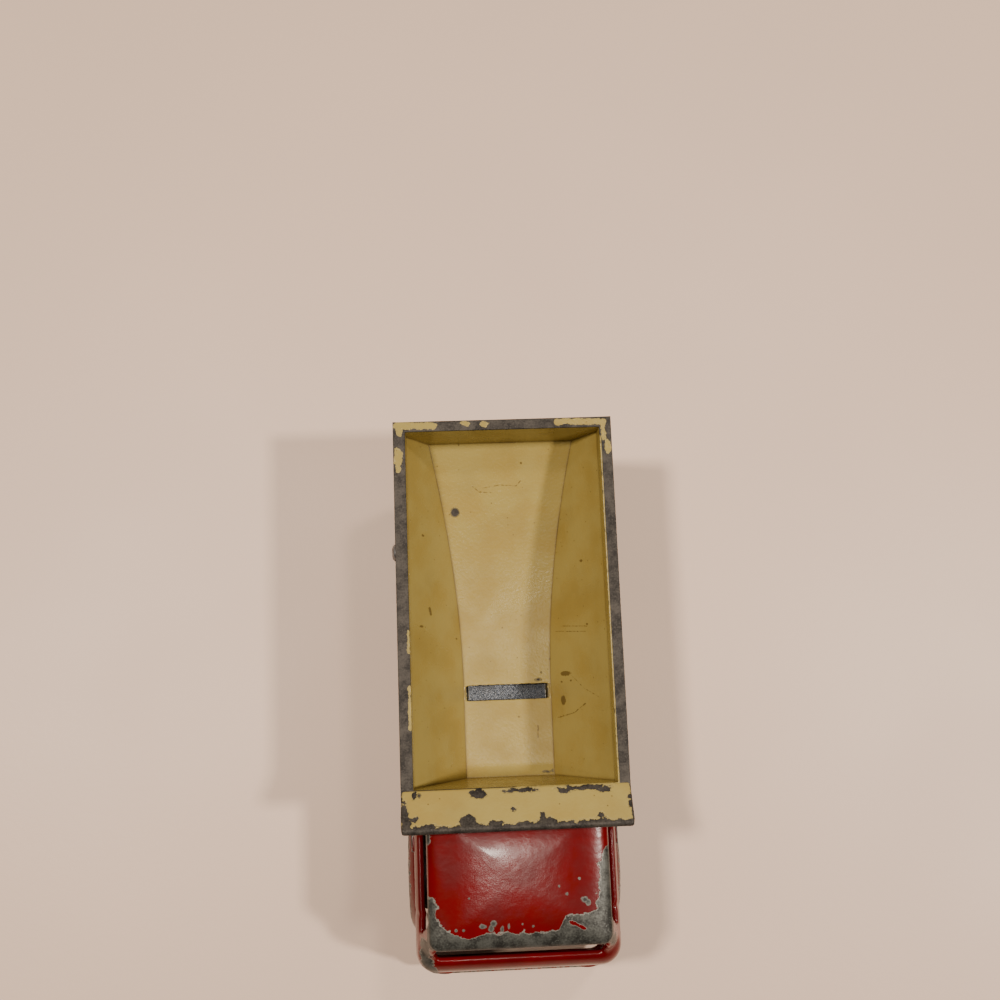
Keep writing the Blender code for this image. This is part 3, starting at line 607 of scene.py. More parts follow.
class Effects:
    """The shader groups that several finishes share."""

    def __init__(self) -> None:
        """Builds each group once."""
        self.ragged_wear = self.build_ragged_wear()
        self.orange_peel = self.build_orange_peel()
        self.cast_skin = self.build_cast_skin()
        self.flecks = self.build_flecks()
        self.grime_and_shade = self.build_grime_and_shade()

    @staticmethod
    def build_ragged_wear() -> bpy.types.NodeTree:
        """Bare where wear plus noise passes 0, with a thin halo along the paint's edge."""
        names = ("Vector", "Wear", "Grain", "Raggedness")
        tree, wire, given, out = new_group("ragged_wear", names, ("Bare", "Halo", "Step"))
        coarse = wire.noise(given["Vector"], given["Grain"], 1.0)
        fine_scale = wire.math("MULTIPLY", given["Grain"], 3.7)
        fine = wire.noise(given["Vector"], fine_scale, 2.0)
        both = wire.math("ADD", coarse, wire.math("MULTIPLY", fine, 0.55))
        centred = wire.math("SUBTRACT", both, 0.775)
        shift = wire.math("MULTIPLY", wire.math("MULTIPLY", centred, 2.4), given["Raggedness"])
        field = wire.math("ADD", given["Wear"], shift)
        wire.feed(out["Bare"], wire.ramp(field, -0.015, 0.015))
        nearness = wire.math("ABSOLUTE", wire.math("SUBTRACT", field, 0.05))
        wire.feed(out["Halo"], wire.ramp(nearness, 0.11, 0.02))
        wire.feed(out["Step"], wire.ramp(field, 0.05, -0.05))
        return tree

    @staticmethod
    def build_orange_peel() -> bpy.types.NodeTree:
        """The soft ripple of thick paint, with finer pits in it."""
        tree, wire, given, out = new_group("orange_peel", ("Vector", "Size", "Pits"), ("Height",))
        scale = wire.math("DIVIDE", 1.0, given["Size"])
        ripple = wire.noise(given["Vector"], scale, 1.0)
        pits = wire.noise(given["Vector"], wire.math("MULTIPLY", scale, 4.5), 1.0)
        low = wire.math("MULTIPLY", wire.math("SUBTRACT", pits, 0.5), given["Pits"])
        wire.feed(out["Height"], wire.math("ADD", ripple, low))
        return tree

    @staticmethod
    def build_cast_skin() -> bpy.types.NodeTree:
        """Bare casting: broad cloudy tone, small bright nicks and a grainy height."""
        tree, wire, given, out = new_group(
            "cast_skin", ("Vector", "Size"), ("Tone", "Height", "Nicks")
        )
        scale = wire.math("DIVIDE", 1.0, given["Size"])
        broad = wire.noise(given["Vector"], scale, 3.0)
        grain = wire.noise(given["Vector"], wire.math("MULTIPLY", scale, 7.0), 3.0)
        wire.feed(out["Tone"], wire.ramp(wire.math("ADD", wire.math("MULTIPLY", broad, 0.6),
                                                   wire.math("MULTIPLY", grain, 0.4)), 0.34, 0.66))
        wire.feed(out["Height"], wire.math("ADD", broad, wire.math("MULTIPLY", grain, 0.35)))
        wire.feed(out["Nicks"], wire.ramp(grain, 0.56, 0.68))
        return tree

    @staticmethod
    def build_flecks() -> bpy.types.NodeTree:
        """Small scattered specks: the middles of those cells that a noise picks out."""
        names = ("Vector", "Density", "Size", "Share")
        tree, wire, given, out = new_group("flecks", names, ("Mask",))
        cells = wire.cells(given["Vector"], given["Density"])
        middle = wire.math("MULTIPLY", given["Size"], 0.5)
        dots = wire.ramp(cells.outputs["Distance"], given["Size"], middle)
        split = wire.tree.nodes.new("ShaderNodeSeparateColor")
        wire.feed(split.inputs[0], cells.outputs["Color"])
        chosen = wire.math("LESS_THAN", split.outputs[0], given["Share"])
        wire.feed(out["Mask"], wire.math("MULTIPLY", dots, chosen))
        return tree

    @staticmethod
    def build_grime_and_shade() -> bpy.types.NodeTree:
        """A mask, thick in hollows and thin and patchy on open faces. The patches are soiling; in the hollows it
        is painted shade on the paint, castings and hubs, and dust on the tyres.
        """
        names = ("Vector", "Hollow", "Patches", "Size")
        tree, wire, given, out = new_group("grime_and_shade", names, ("Mask",))
        scale = wire.math("DIVIDE", 1.0, given["Size"])
        cloud = wire.noise(given["Vector"], scale, 4.0)
        patches = wire.math("MULTIPLY", wire.ramp(cloud, 0.45, 0.75), given["Patches"])
        # The hollow part: painted shade in creases and recesses, for the materials that darken with it.
        corner = wire.math("MULTIPLY", given["Hollow"], wire.span(cloud, 0.35, 1.0))
        wire.feed(out["Mask"], wire.math("MINIMUM", wire.math("ADD", patches, corner), 1.0))
        return tree


# --- Finishes ------------------------------------------------------------------------
@dataclass(frozen=True)
class BareMetal:
    """The look of the metal under the paint.

    Attributes:
        dark: Its colour in dull patches.
        light: Its colour on rubbed patches.
        size: The size of the patches.
        roughness: How rough it is where dull.
    """

    dark: Colour = (0.055, 0.052, 0.050)
    light: Colour = (0.20, 0.195, 0.185)
    size: float = 1.6
    roughness: float = 0.50


def new_material(name: str) -> tuple[bpy.types.Material, Wiring, bpy.types.Node]:
    """A material with its wiring and its Principled shader."""
    material = bpy.data.materials.new(name)
    material.use_nodes = True
    shader = material.node_tree.nodes["Principled BSDF"]
    return material, Wiring(material.node_tree), shader


@dataclass(frozen=True)
class GlossPaint:
    """Thick glossy enamel on cast metal, worn through at the edges.

    Attributes:
        name: The material's name.
        colour: The paint in the open.
        deep: The paint in its darker drifts.
        dust: The colour of soiling, specks and stains on it, and of the painted shade in its hollows.
        halo: The thin line along the paint's broken edge.
        metal: What shows where the paint is gone.
        roughness: How rough the paint's own gloss is.
        coat: How much clear gloss lies over it.
        peel: The size of its ripple.
        peel_depth: The height of its ripple.
        grime_patches: How much soiling lies on open faces.
        fleck_share: The share of places that hold a dark speck.
        raggedness: How far the edge of the paint wanders.
        grain: How many wanderings there are in a millimetre.
        chips: Small places where the paint is gone.
        stains: Small dark marks on it.
        specular: How strongly the paint itself reflects.
    """

    name: str
    colour: Colour
    deep: Colour
    dust: Colour
    halo: Colour
    metal: BareMetal
    roughness: float = 0.3
    coat: float = 0.5
    peel: float = 0.9
    peel_depth: float = 0.02
    grime_patches: float = 0.25
    fleck_share: float = 0.12
    raggedness: float = 0.35
    grain: float = 1.3
    chips: Marks = Marks()
    stains: Marks = Marks()
    specular: float = 0.4

    def build(self, effects: Effects) -> bpy.types.Material:
        """Makes the material.

        Args:
            effects: The shared shader groups.

        Returns:
            A material that reads the attributes wear, edge and hollow.
        """
        material, wire, shader = new_material(self.name)
        place = wire.millimetres()
        worn = wire.group(
            effects.ragged_wear,
            Vector=place,
            Wear=wire.attribute("wear"),
            Grain=self.grain,
            Raggedness=self.raggedness,
        )
        up = wire.facing_up()
        chip = wire.group(
            effects.ragged_wear,
            Vector=place,
            Wear=wire.marks(place, self.chips),
            Grain=2.6,
            Raggedness=0.09,
        )
        chip_bare = wire.math("MULTIPLY", chip.outputs["Bare"], up)
        chip_halo = wire.math("MULTIPLY", chip.outputs["Halo"], wire.math("MULTIPLY", up, 0.4))
        bare = wire.math("MAXIMUM", worn.outputs["Bare"], chip_bare)
        halo = wire.math("MAXIMUM", worn.outputs["Halo"], chip_halo)
        peel = wire.group(effects.orange_peel, Vector=place, Size=self.peel, Pits=0.35)
        skin = wire.group(effects.cast_skin, Vector=place, Size=self.metal.size)
        dirt_and_shade = wire.group(
            effects.grime_and_shade,
            Vector=place,
            Hollow=wire.attribute("hollow"),
            Patches=self.grime_patches,
            Size=5.0,
        )
        fleck = wire.group(
            effects.flecks, Vector=place, Density=1.5, Size=0.16, Share=self.fleck_share
        )
        drift = wire.ramp(wire.noise(place, 0.22, 3.0), 0.35, 0.7)
        paint = wire.blend(drift, self.colour, self.deep)
        # Painted shade: the paint darkens to its dust colour in hollows, and is soiled in patches on open faces.
        paint = wire.blend(dirt_and_shade.outputs["Mask"], paint, self.dust)
        paint = wire.blend(wire.math("MULTIPLY", fleck.outputs["Mask"], 0.75), paint, self.dust)
        stain = wire.marks(place, self.stains)
        waver = wire.math("MULTIPLY", wire.math("SUBTRACT", wire.noise(place, 3.0, 2.0), 0.5), 0.22)
        stain = wire.ramp(wire.math("ADD", stain, waver), -0.03, 0.04)
        stain = wire.math("MULTIPLY", wire.math("MULTIPLY", stain, up), 0.85)
        paint = wire.blend(stain, paint, self.dust)
        tone = wire.math("MAXIMUM", skin.outputs["Tone"], skin.outputs["Nicks"])
        metal = wire.blend(tone, self.metal.dark, self.metal.light)
        base = wire.blend(bare, paint, metal)
        base = wire.blend(wire.math("MULTIPLY", halo, 0.6), base, self.halo)
        wire.feed(shader.inputs["Base Color"], base)
        wire.feed(shader.inputs["Metallic"], wire.math("MULTIPLY", bare, 0.4))
        shader.inputs["Specular IOR Level"].default_value = self.specular
        sheen = wire.math("ADD", wire.span(drift, self.roughness, self.roughness + 0.08),
                          wire.math("MULTIPLY", dirt_and_shade.outputs["Mask"], 0.25))
        mixed = wire.math("ADD", wire.math("MULTIPLY", bare, self.metal.roughness),
                          wire.math("MULTIPLY", wire.math("SUBTRACT", 1.0, bare), sheen))
        wire.feed(shader.inputs["Roughness"], mixed)
        coat = wire.math("MULTIPLY", wire.math("SUBTRACT", 1.0, bare), self.coat)
        wire.feed(shader.inputs["Coat Weight"], coat)
        shader.inputs["Coat Roughness"].default_value = 0.09
        height = wire.math("ADD", wire.math("MULTIPLY", peel.outputs["Height"], self.peel_depth),
                           wire.math("MULTIPLY", worn.outputs["Step"], 0.05))
        grainy = wire.math("MULTIPLY", wire.math("MULTIPLY", skin.outputs["Height"], bare), 0.05)
        wire.feed(shader.inputs["Normal"], wire.bump(wire.math("ADD", height, grainy), 1.0))
        return material


@dataclass(frozen=True)
class Casting:
    """Bare cast or drawn metal.

    Attributes:
        name: The material's name.
        metal: Its tones.
        grime_and_shade: The colour of the soiling on it and of the painted shade in its hollows.
        rubbed: The colour of its rubbed edges.
        depth: The height of its grain.
        nicks: How strong its small bright nicks are.
    """

    name: str
    metal: BareMetal
    grime_and_shade: Colour = (0.02, 0.018, 0.016)
    rubbed: Colour = (0.30, 0.29, 0.275)
    depth: float = 0.04
    nicks: float = 0.2

    def build(self, effects: Effects) -> bpy.types.Material:
        """Makes the material from the shared groups."""
        material, wire, shader = new_material(self.name)
        place = wire.millimetres()
        skin = wire.group(effects.cast_skin, Vector=place, Size=self.metal.size)
        dirt_and_shade = wire.group(
            effects.grime_and_shade, Vector=place, Hollow=wire.attribute("hollow"), Patches=0.5, Size=3.0
        )
        tone = wire.blend(skin.outputs["Tone"], self.metal.dark, self.metal.light)
        rubbed = wire.math("MULTIPLY", wire.attribute("edge"), skin.outputs["Tone"])
        tone = wire.blend(rubbed, tone, self.rubbed)
        nicks = wire.math("MULTIPLY", skin.outputs["Nicks"], self.nicks)
        tone = wire.blend(nicks, tone, self.rubbed)
        # Painted shade: the metal darkens in hollows, and is soiled in patches on open faces.
        base = wire.blend(dirt_and_shade.outputs["Mask"], tone, self.grime_and_shade)
        wire.feed(shader.inputs["Base Color"], base)
        clean = wire.math("SUBTRACT", 1.0, dirt_and_shade.outputs["Mask"])
        wire.feed(shader.inputs["Metallic"], wire.math("MULTIPLY", clean, 0.9))
        rough = wire.span(skin.outputs["Tone"], self.metal.roughness + 0.12, self.metal.roughness)
        wire.feed(shader.inputs["Roughness"], rough)
        wire.feed(shader.inputs["Normal"], wire.bump(skin.outputs["Height"], self.depth))
        return material


@dataclass(frozen=True)
class TyreRubber:
    """Matt black tyre: dusty in its hollows, scuffed grey on its tread."""

    name: str = "tyre_rubber"
    colour: Colour = (0.014, 0.014, 0.015)
    scuffed: Colour = (0.06, 0.058, 0.055)
    dust: Colour = (0.16, 0.145, 0.125)

    def build(self, effects: Effects) -> bpy.types.Material:
        """Makes the material from the shared groups."""
        material, wire, shader = new_material(self.name)
        place = wire.millimetres()
        dirt_and_shade = wire.group(
            effects.grime_and_shade, Vector=place, Hollow=wire.attribute("hollow"), Patches=0.35, Size=2.0
        )
        peel = wire.group(effects.orange_peel, Vector=place, Size=0.35, Pits=0.8)
        scuff = wire.ramp(wire.noise(place, 1.4, 4.0), 0.45, 0.7)
        base = wire.blend(scuff, self.colour, self.scuffed)
        base = wire.blend(wire.math("MULTIPLY", dirt_and_shade.outputs["Mask"], 0.6), base, self.dust)
        wire.feed(shader.inputs["Base Color"], base)
        wire.feed(shader.inputs["Roughness"], wire.span(scuff, 0.55, 0.8))
        wire.feed(shader.inputs["Normal"], wire.bump(peel.outputs["Height"], 0.02))
        return material


@dataclass(frozen=True)
class WheelPlastic:
    """Dull grey moulded plastic, soiled in patches, with painted shade round its bosses."""

    name: str = "hub_plastic"
    colour: Colour = (0.30, 0.30, 0.29)
    faded: Colour = (0.40, 0.39, 0.37)
    grime_and_shade: Colour = (0.05, 0.045, 0.04)

    def build(self, effects: Effects) -> bpy.types.Material:
        """Makes the material from the shared groups."""
        material, wire, shader = new_material(self.name)
        place = wire.millimetres()
        dirt_and_shade = wire.group(
            effects.grime_and_shade, Vector=place, Hollow=wire.attribute("hollow"), Patches=0.4, Size=1.6
        )
        peel = wire.group(effects.orange_peel, Vector=place, Size=0.5, Pits=0.6)
        fade = wire.ramp(wire.noise(place, 0.8, 3.0), 0.4, 0.65)
        base = wire.blend(fade, self.colour, self.faded)
        # Painted shade round the bosses and other hollows, with soiled patches on open faces.
        base = wire.blend(dirt_and_shade.outputs["Mask"], base, self.grime_and_shade)
        wire.feed(shader.inputs["Base Color"], base)
        wire.feed(shader.inputs["Roughness"], wire.span(fade, 0.38, 0.52))
        wire.feed(shader.inputs["Normal"], wire.bump(peel.outputs["Height"], 0.012))
        return material


@dataclass(frozen=True)
class TableTop:
    """The pale satin top that the truck stands on."""

    name: str = "table_top"
    colour: Colour = (0.70, 0.52, 0.405)
    shade: Colour = (0.66, 0.49, 0.385)

    def build(self, effects: Effects) -> bpy.types.Material:
        """Makes the material from the shared groups."""
        material, wire, shader = new_material(self.name)
        place = wire.millimetres()
        cloud = wire.ramp(wire.noise(place, 0.012, 3.0), 0.3, 0.7)
        peel = wire.group(effects.orange_peel, Vector=place, Size=1.1, Pits=0.5)
        wire.feed(shader.inputs["Base Color"], wire.blend(cloud, self.colour, self.shade))
        wire.feed(shader.inputs["Roughness"], wire.span(cloud, 0.42, 0.52))
        wire.feed(shader.inputs["Normal"], wire.bump(peel.outputs["Height"], 0.01))
        return material


@dataclass(frozen=True)
class Finishes:
    """Every material of the truck and its table."""

    red: bpy.types.Material
    cream: bpy.types.Material
    handled: bpy.types.Material
    zinc: bpy.types.Material
    steel: bpy.types.Material
    slide: bpy.types.Material
    rubber: bpy.types.Material
    plastic: bpy.types.Material
    table: bpy.types.Material


def build_finishes() -> Finishes:
    """Makes the shared groups and every material."""
    effects = Effects()
    roof_metal = BareMetal((0.02, 0.0195, 0.017), (0.088, 0.09, 0.08), 1.5, 0.45)
    rim_metal = BareMetal((0.018, 0.0155, 0.0135), (0.064, 0.056, 0.047), 1.3, 0.55)
    red = GlossPaint(
        name="red_enamel",
        colour=(0.125, 0.0008, 0.0018),
        deep=(0.088, 0.0006, 0.0013),
        dust=(0.08, 0.012, 0.010),
        halo=(0.30, 0.285, 0.25),
        metal=roof_metal,
        roughness=0.18,
        coat=0.1,
        peel=0.8,
        peel_depth=0.012,
        grime_patches=0.05,
        fleck_share=0.0,
        specular=0.3,
        raggedness=0.42,
        chips=Marks(
            spots=(
                (7.2, -21.75, 0.42, 0.3), (7.58, -22.1, 0.3, 0.42), (5.21, -21.06, 0.17, 0.2),
                (6.72, -19.48, 0.13, 0.15), (4.38, -20.18, 0.1, 0.11), (-4.3, -24.12, 0.4, 0.24),
                (-3.06, -23.87, 0.34, 0.36), (-3.35, -24.4, 0.3, 0.4), (-7.25, -24.44, 0.18, 0.18),
                (-6.41, -24.48, 0.14, 0.14), (-1.36, -24.25, 0.14, 0.26), (1.32, -24.33, 0.14, 0.15),
                (0.13, -24.07, 0.11, 0.11), (-5.7, -21.1, 0.09, 0.1), (-2.1, -24.5, 0.2, 0.3),
            ),
        ),
    )
    cream = GlossPaint(
        name="cream_enamel",
        colour=(0.325, 0.25, 0.072),
        deep=(0.30, 0.215, 0.052),
        dust=(0.09, 0.055, 0.016),
        halo=(0.55, 0.43, 0.14),
        metal=rim_metal,
        roughness=0.22,
        coat=0.0,
        peel=0.36,
        peel_depth=0.024,
        grime_patches=0.13,
        fleck_share=0.14,
        raggedness=0.36,
        specular=0.24,
        chips=Marks(
            spots=(
                (-5.91, 23.84, 0.6, 0.6), (3.91, 2.67, 0.5, 0.22), (4.33, 3.5, 0.12, 0.14),
                (4.58, -8.69, 0.6, 0.18), (5.25, -8.62, 0.16, 0.2), (-10.9, -9.7, 0.24, 0.3),
            ),
        ),
        stains=Marks(
            spots=(
                (7.17, 3.28, 0.55, 0.3), (6.79, 0.01, 0.26, 0.55), (6.72, 2.27, 0.13, 0.13),
                (7.7, 2.41, 0.12, 0.12), (9.63, 9.06, 0.13, 0.15), (1.32, -1.86, 0.14, 0.13),
                (-10.3, 9.42, 0.2, 0.16), (-9.89, 20.45, 0.16, 0.16), (9.34, 16.83, 0.16, 0.16),
                (2.57, 29.58, 0.14, 0.13), (-5.2, 31.95, 0.13, 0.12), (-6.2, 8.1, 0.12, 0.1),
                (-0.4, 9.3, 0.1, 0.12), (5.5, 5.2, 0.1, 0.13), (5.2, 3.9, 0.09, 0.1),
            ),
            scratches=(
                (-9.37, 11.69, -9.21, 10.92, 0.13), (3.67, -2.97, 3.6, -4.44, 0.07),
                (6.23, 8.58, 9.44, 8.2, 0.035), (6.91, 9.16, 9.62, 8.82, 0.03),
                (6.13, -2.14, 7.94, -1.47, 0.05), (7.94, -1.47, 9.08, -0.39, 0.05),
                (7.8, 2.97, 9.0, 1.43, 0.02), (9.0, 1.43, 10.48, 0.34, 0.02),
                (-3.67, 26.99, -2.81, 26.24, 0.03), (-2.81, 26.24, -1.3, 26.12, 0.03),
                (-2.29, 26.71, -0.14, 27.01, 0.03), (-0.14, 27.01, 1.88, 26.83, 0.03),
                (1.88, 26.83, 2.53, 27.54, 0.03),
            ),
        ),
    )
    zinc = Casting("bare_casting", BareMetal((0.06, 0.056, 0.052), (0.17, 0.165, 0.155), 1.8, 0.5))
    steel = Casting("drawn_steel", BareMetal((0.16, 0.16, 0.165), (0.42, 0.42, 0.43), 0.9, 0.32))
    slide = Casting(
        "slide_steel",
        BareMetal((0.014, 0.018, 0.026), (0.075, 0.09, 0.115), 0.22, 0.5),
        rubbed=(0.85, 0.87, 0.88),
        depth=0.08,
        nicks=1.0,
    )
    return Finishes(
        red=red.build(effects),
        cream=cream.build(effects),
        handled=replace(cream, name="cream_enamel_handled", roughness=0.42).build(effects),
        zinc=zinc.build(effects),
        steel=steel.build(effects),
        slide=slide.build(effects),
        rubber=TyreRubber().build(effects),
        plastic=WheelPlastic().build(effects),
        table=TableTop().build(effects),
    )


# --- Hopper --------------------------------------------------------------------------
@dataclass
class Hopper:
    """The cream tipping hopper: its tub, the shield over the cab, ribs, lugs and rails.

    Attributes:
        rim_z: The height of the rim.
        floor_front_z: The height of the level floor at the front.
        floor_half: Half the width of the level floor.
        floor_thickness: How thick the floor is.
        band: The height of the upright band under the rim.
        wall: The thickness of the front and tail walls.
        side_wall: The thickness of the sides at the rim.
        side_offset: How far the sloping sides stand outside the inner ones.
        slope: How much wider the inside grows for each millimetre of height.
        tail_rise: How far the floor rises to the tail.
        rise_power: How the rise gathers towards the tail.
        slot_front: Where the slot across the floor starts.
        slot_rear: Where it ends.
        support: The distance from a fold to the lines that hold it crisp.
    """

    rim_z: float = 24.0
    floor_front_z: float = 10.7
    floor_half: float = 5.5
    floor_thickness: float = 1.2
    band: float = 2.6
    wall: float = 1.25
    side_wall: float = 1.45
    side_offset: float = 1.35
    slope: float = 0.5654
    tail_rise: float = 6.15
    rise_power: float = 1.85
    slot_front: float = 0.3
    slot_rear: float = 2.2
    support: float = 0.2

    def __post_init__(self) -> None:
        """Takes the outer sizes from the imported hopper."""
        low, high = node_box("hopper")
        self.half_width = float(high[0])
        self.tail = float(high[1])
        self.nose = float(low[1])
        self.front = float(node_box("cab")[1][1]) + 0.8
        self.inner_front = self.front + self.wall
        self.inner_tail = self.tail - self.wall

    def floor_z(self, y: Array) -> Array:
        """Level to the slot, then rising as a power of the share of the way to the tail."""
        share = np.clip((y - self.slot_rear) / (self.inner_tail - self.slot_rear), 0.0, 1.1)
        return self.floor_front_z + self.tail_rise * share**self.rise_power

    def slope_x(self, z: Array, offset: float = 0.0) -> Array:
        """Half the width between the sloping sides at a height."""
        return self.floor_half + offset + self.slope * (z - self.floor_front_z)

    def stations(self) -> Array:
        """Where the cross-sections stand, closer at the walls and at the slot's edges."""
        s, edge = self.support, 0.14
        ahead = np.linspace(self.inner_front + s, self.slot_front - edge, 9)
        behind = np.linspace(self.slot_rear + edge, self.inner_tail - s, 25)
        slot = [self.slot_front, 0.5 * (self.slot_front + self.slot_rear), self.slot_rear]
        return np.concatenate([[self.inner_front], ahead, slot, behind, [self.inner_tail]])

    def section(self, y: Array, outer: bool) -> Array:
        """The cross-section at each station, from the left rim down, across and up again.

        The floor's columns run from the middle to the slot's end, then come the fold, the
        slope and the band, each as shares of the way between its corners.

        Args:
            y: The stations.
            outer: Whether it is the outer surface.

        Returns:
            Points in an array of stations by columns by 3.
        """
        inner_floor = self.floor_z(y)
        floor = inner_floor - (self.floor_thickness if outer else 0.0)
        fold = self.slope_x(floor, self.side_offset if outer else 0.0)
        half = self.half_width - (0.0 if outer else self.side_wall)
        band_z = self.rim_z - self.band + (0.2 if outer else 0.0)
        slot_end = self.slope_x(inner_floor) - 0.12
        level = np.linspace(0.0, 1.0, 7)
        slope = np.array([0.018, 0.2, 0.4, 0.6, 0.8, 0.982, 1.0])
        band = np.array([0.08, 0.5, 0.92, 1.0])
        x = [slot_end[:, None] * level, fold[:, None]]
        x.append(fold[:, None] + (half - fold)[:, None] * slope)
        x.append(np.full((len(y), len(band)), half))
        z = [np.repeat(floor[:, None], len(level) + 1, axis=1)]
        z.append(floor[:, None] + (band_z - floor)[:, None] * slope)
        z.append(np.repeat((band_z + (self.rim_z - band_z) * band)[None, :], len(y), axis=0))
        right_x, right_z = np.concatenate(x, axis=1), np.concatenate(z, axis=1)
        all_x = np.concatenate([-right_x[:, :0:-1], right_x], axis=1)
        all_z = np.concatenate([right_z[:, :0:-1], right_z], axis=1)
        return np.stack([all_x, np.repeat(y[:, None], all_x.shape[1], axis=1), all_z], axis=-1)

    def end_wall(self, row: Array) -> Array:
        """The rows of an end wall, from its straight top edge down to a section.

        A column's top is as far along the straight edge as its foot is along the section,
        and the rows lie between the two, closest near both ends.
        """
        step = np.linalg.norm(np.diff(row, axis=0), axis=1)
        share = np.concatenate([[0.0], np.cumsum(step)]) / step.sum()
        top = row.copy()
        top[:, 0] = row[0, 0] + (row[-1, 0] - row[0, 0]) * share
        top[:, 2] = self.rim_z
        drop = np.linalg.norm(row - top, axis=1)
        near = np.clip(self.support / np.maximum(drop, 1e-6), 0.0, 0.25)
        shares = np.stack([0 * near, near, 0 * near + 0.36, 0 * near + 0.66, 1 - near])
        return top[None] + (row - top)[None] * shares[:, :, None]

    def shell(self, outer: bool) -> Array:
        """The whole inner or outer surface as one grid: front wall, sections, tail wall."""
        y = self.stations()
        if outer:
            y[0], y[-1] = self.front, self.tail
            y[1], y[-2] = self.front + self.support, self.tail - self.support
        middle = self.section(y, outer)
        return np.concatenate([self.end_wall(middle[0]), middle, self.end_wall(middle[-1])[::-1]])

    def tub_surface(self) -> Surface:
        """The inner and outer grids, joined by the flat rim and by the slot's walls."""
        inner, outer = self.shell(False), self.shell(True)
        rows, columns = inner.shape[:2]
        index = np.arange(rows * columns).reshape(rows, columns)
        faces = grid_faces(rows, columns).reshape(rows - 1, columns - 1, 4)
        y = self.stations()
        first = 5 + int(np.argmin(np.abs(y - self.slot_front)))
        last = 5 + int(np.argmin(np.abs(y - self.slot_rear)))
        middle = columns // 2
        keep = np.ones((rows - 1, columns - 1), bool)
        keep[first:last, middle - 6 : middle + 6] = False
        made = Surface()
        made.add(inner, faces[keep])
        made.add(outer, faces[keep])
        rim = self.loop(index, 0, rows - 1, 0, columns - 1)
        self.bridge(made, inner, outer, rim, (0.0, 0.14, 0.86, 1.0))
        slot = self.loop(index, first, last, middle - 6, middle + 6)
        self.bridge(made, inner, outer, slot, (0.0, 0.12, 0.88, 1.0))
        return made

    @staticmethod
    def loop(index: Array, top: int, bottom: int, left: int, right: int) -> Array:
        """The indices round the edge of a block of a grid, in order."""
        over = index[top, left:right]
        down = index[top:bottom, right]
        back = index[bottom, right:left:-1]
        up = index[bottom:top:-1, left]
        return np.concatenate([over, down, back, up])

    @staticmethod
    def bridge(made: Surface, inner: Array, outer: Array, loop: Array, shares: tuple) -> None:
        """Joins matching loops of the two grids by rings at shares of the way between."""
        first = inner.reshape(-1, 3)[loop]
        second = outer.reshape(-1, 3)[loop]
        rings = np.stack([first + (second - first) * share for share in shares])
        made.add(rings, grid_faces(len(shares), len(loop), around=True))

    def tub_wear(self, points: Array, edge: Array) -> Array:
        """Bare on top of the rim except for remnants of paint, and on sharp outer edges."""
        x, y, z = points.T
        rim = np.minimum((z - self.rim_z + 0.2) * 3.0, 0.8)
        inner_right = (x > 0) & (x < self.half_width - self.side_wall + 0.17) & (y < 31.0)
        rim = np.where(inner_right, rim - 1.1, rim)
        ends = self.half_width - 0.5
        left_rear = stroke_field(x, y, ((-ends, 32.9), (-8.2, 32.75)), 0.36)
        corner = stroke_field(x, y, ((-ends + 0.25, 33.0), (-ends + 0.35, 31.9)), 0.3)
        right_rear = stroke_field(x, y, ((6.6, 32.85), (9.0, 32.8), (12.0, 32.75)), 0.3)
        right_line = stroke_field(x, y, ((12.0, 32.8), (12.1, 30.7)), 0.2)
        left_patch = ellipse_field(x, y, (-12.42, 28.8), (0.42, 1.3))
        right_patch = ellipse_field(x, y, (12.46, 29.7), (0.36, 0.75))
        specks = np.maximum(
            ellipse_field(x, y, (-4.3, 32.9), (0.5, 0.3)),
            ellipse_field(x, y, (-2.1, 32.85), (0.42, 0.28)),
        )
        left_line = np.maximum(
            stroke_field(x, y, ((-11.68, 8.6), (-11.7, 6.3)), 0.12),
            stroke_field(x, y, ((-11.66, 2.2), (-11.72, -2.4)), 0.15),
        )
        painted = np.max(
            [left_rear, corner, right_rear, right_line, left_patch, right_patch, specks, left_line],
            axis=0,
        )
        rim = np.where(painted > -0.5, np.minimum(rim, -1.7 * painted), rim)
        return np.maximum(rim, 0.8 * (edge - 0.95))

    def shield_surface(self) -> Surface:
        """The shield's profile carried across: up and forward to a round nose, and back."""
        rise, reach, thickness = 2.3, 4.35, 0.9
        slope = np.arctan2(rise, reach)
        along = np.array([-np.cos(slope), np.sin(slope)])
        down = np.array([-np.sin(slope), -np.cos(slope)])
        start = np.array([self.inner_front, self.rim_z])
        half = thickness / 2
        length = np.hypot(rise, reach) - half
        runs = np.linspace(0.0, length, 18)
        top = start + runs[:, None] * along
        turn = np.radians(np.linspace(0.0, 180.0, 10))[1:]
        out, drop = half * np.sin(turn), half - half * np.cos(turn)
        nose = start + (length + out)[:, None] * along + drop[:, None] * down
        under_end = np.array([self.front + 0.05, self.rim_z - 0.75])
        under = nose[-1] + (under_end - nose[-1]) * np.linspace(0.0, 1.0, 16)[1:, None]
        foot = np.array([[self.front + 0.05, self.rim_z - 1.6], [start[0] - 0.1, self.rim_z - 1.6]])
        foot = np.concatenate([foot, [[start[0] - 0.1, self.rim_z - 0.3]]])
        profile = np.concatenate([top, nose, under, foot])
        across = np.linspace(-1.0, 1.0, 92) * self.half_width
        fade = np.clip((self.half_width - np.abs(across)) / 0.22, 0.0, 1.0)
        inset = 0.16 * (1.0 - np.sqrt(1.0 - (1.0 - fade) ** 2))
        middle = profile.mean(axis=0)
        span = np.linalg.norm(profile - middle, axis=1)
        pull = 1.0 - inset[:, None] / span[None, :]
        placed = middle + (profile - middle)[None] * pull[:, :, None]
        x = np.repeat(across[:, None, None], len(profile), axis=1)
        made = Surface()
        count = len(profile)
        made.add(
            np.concatenate([x, placed], axis=-1), grid_faces(len(across), count, around=True)
        )
        made.faces.append(list(range(count)))
        made.faces.append([i + count * (len(across) - 1) for i in range(count)])
        return made

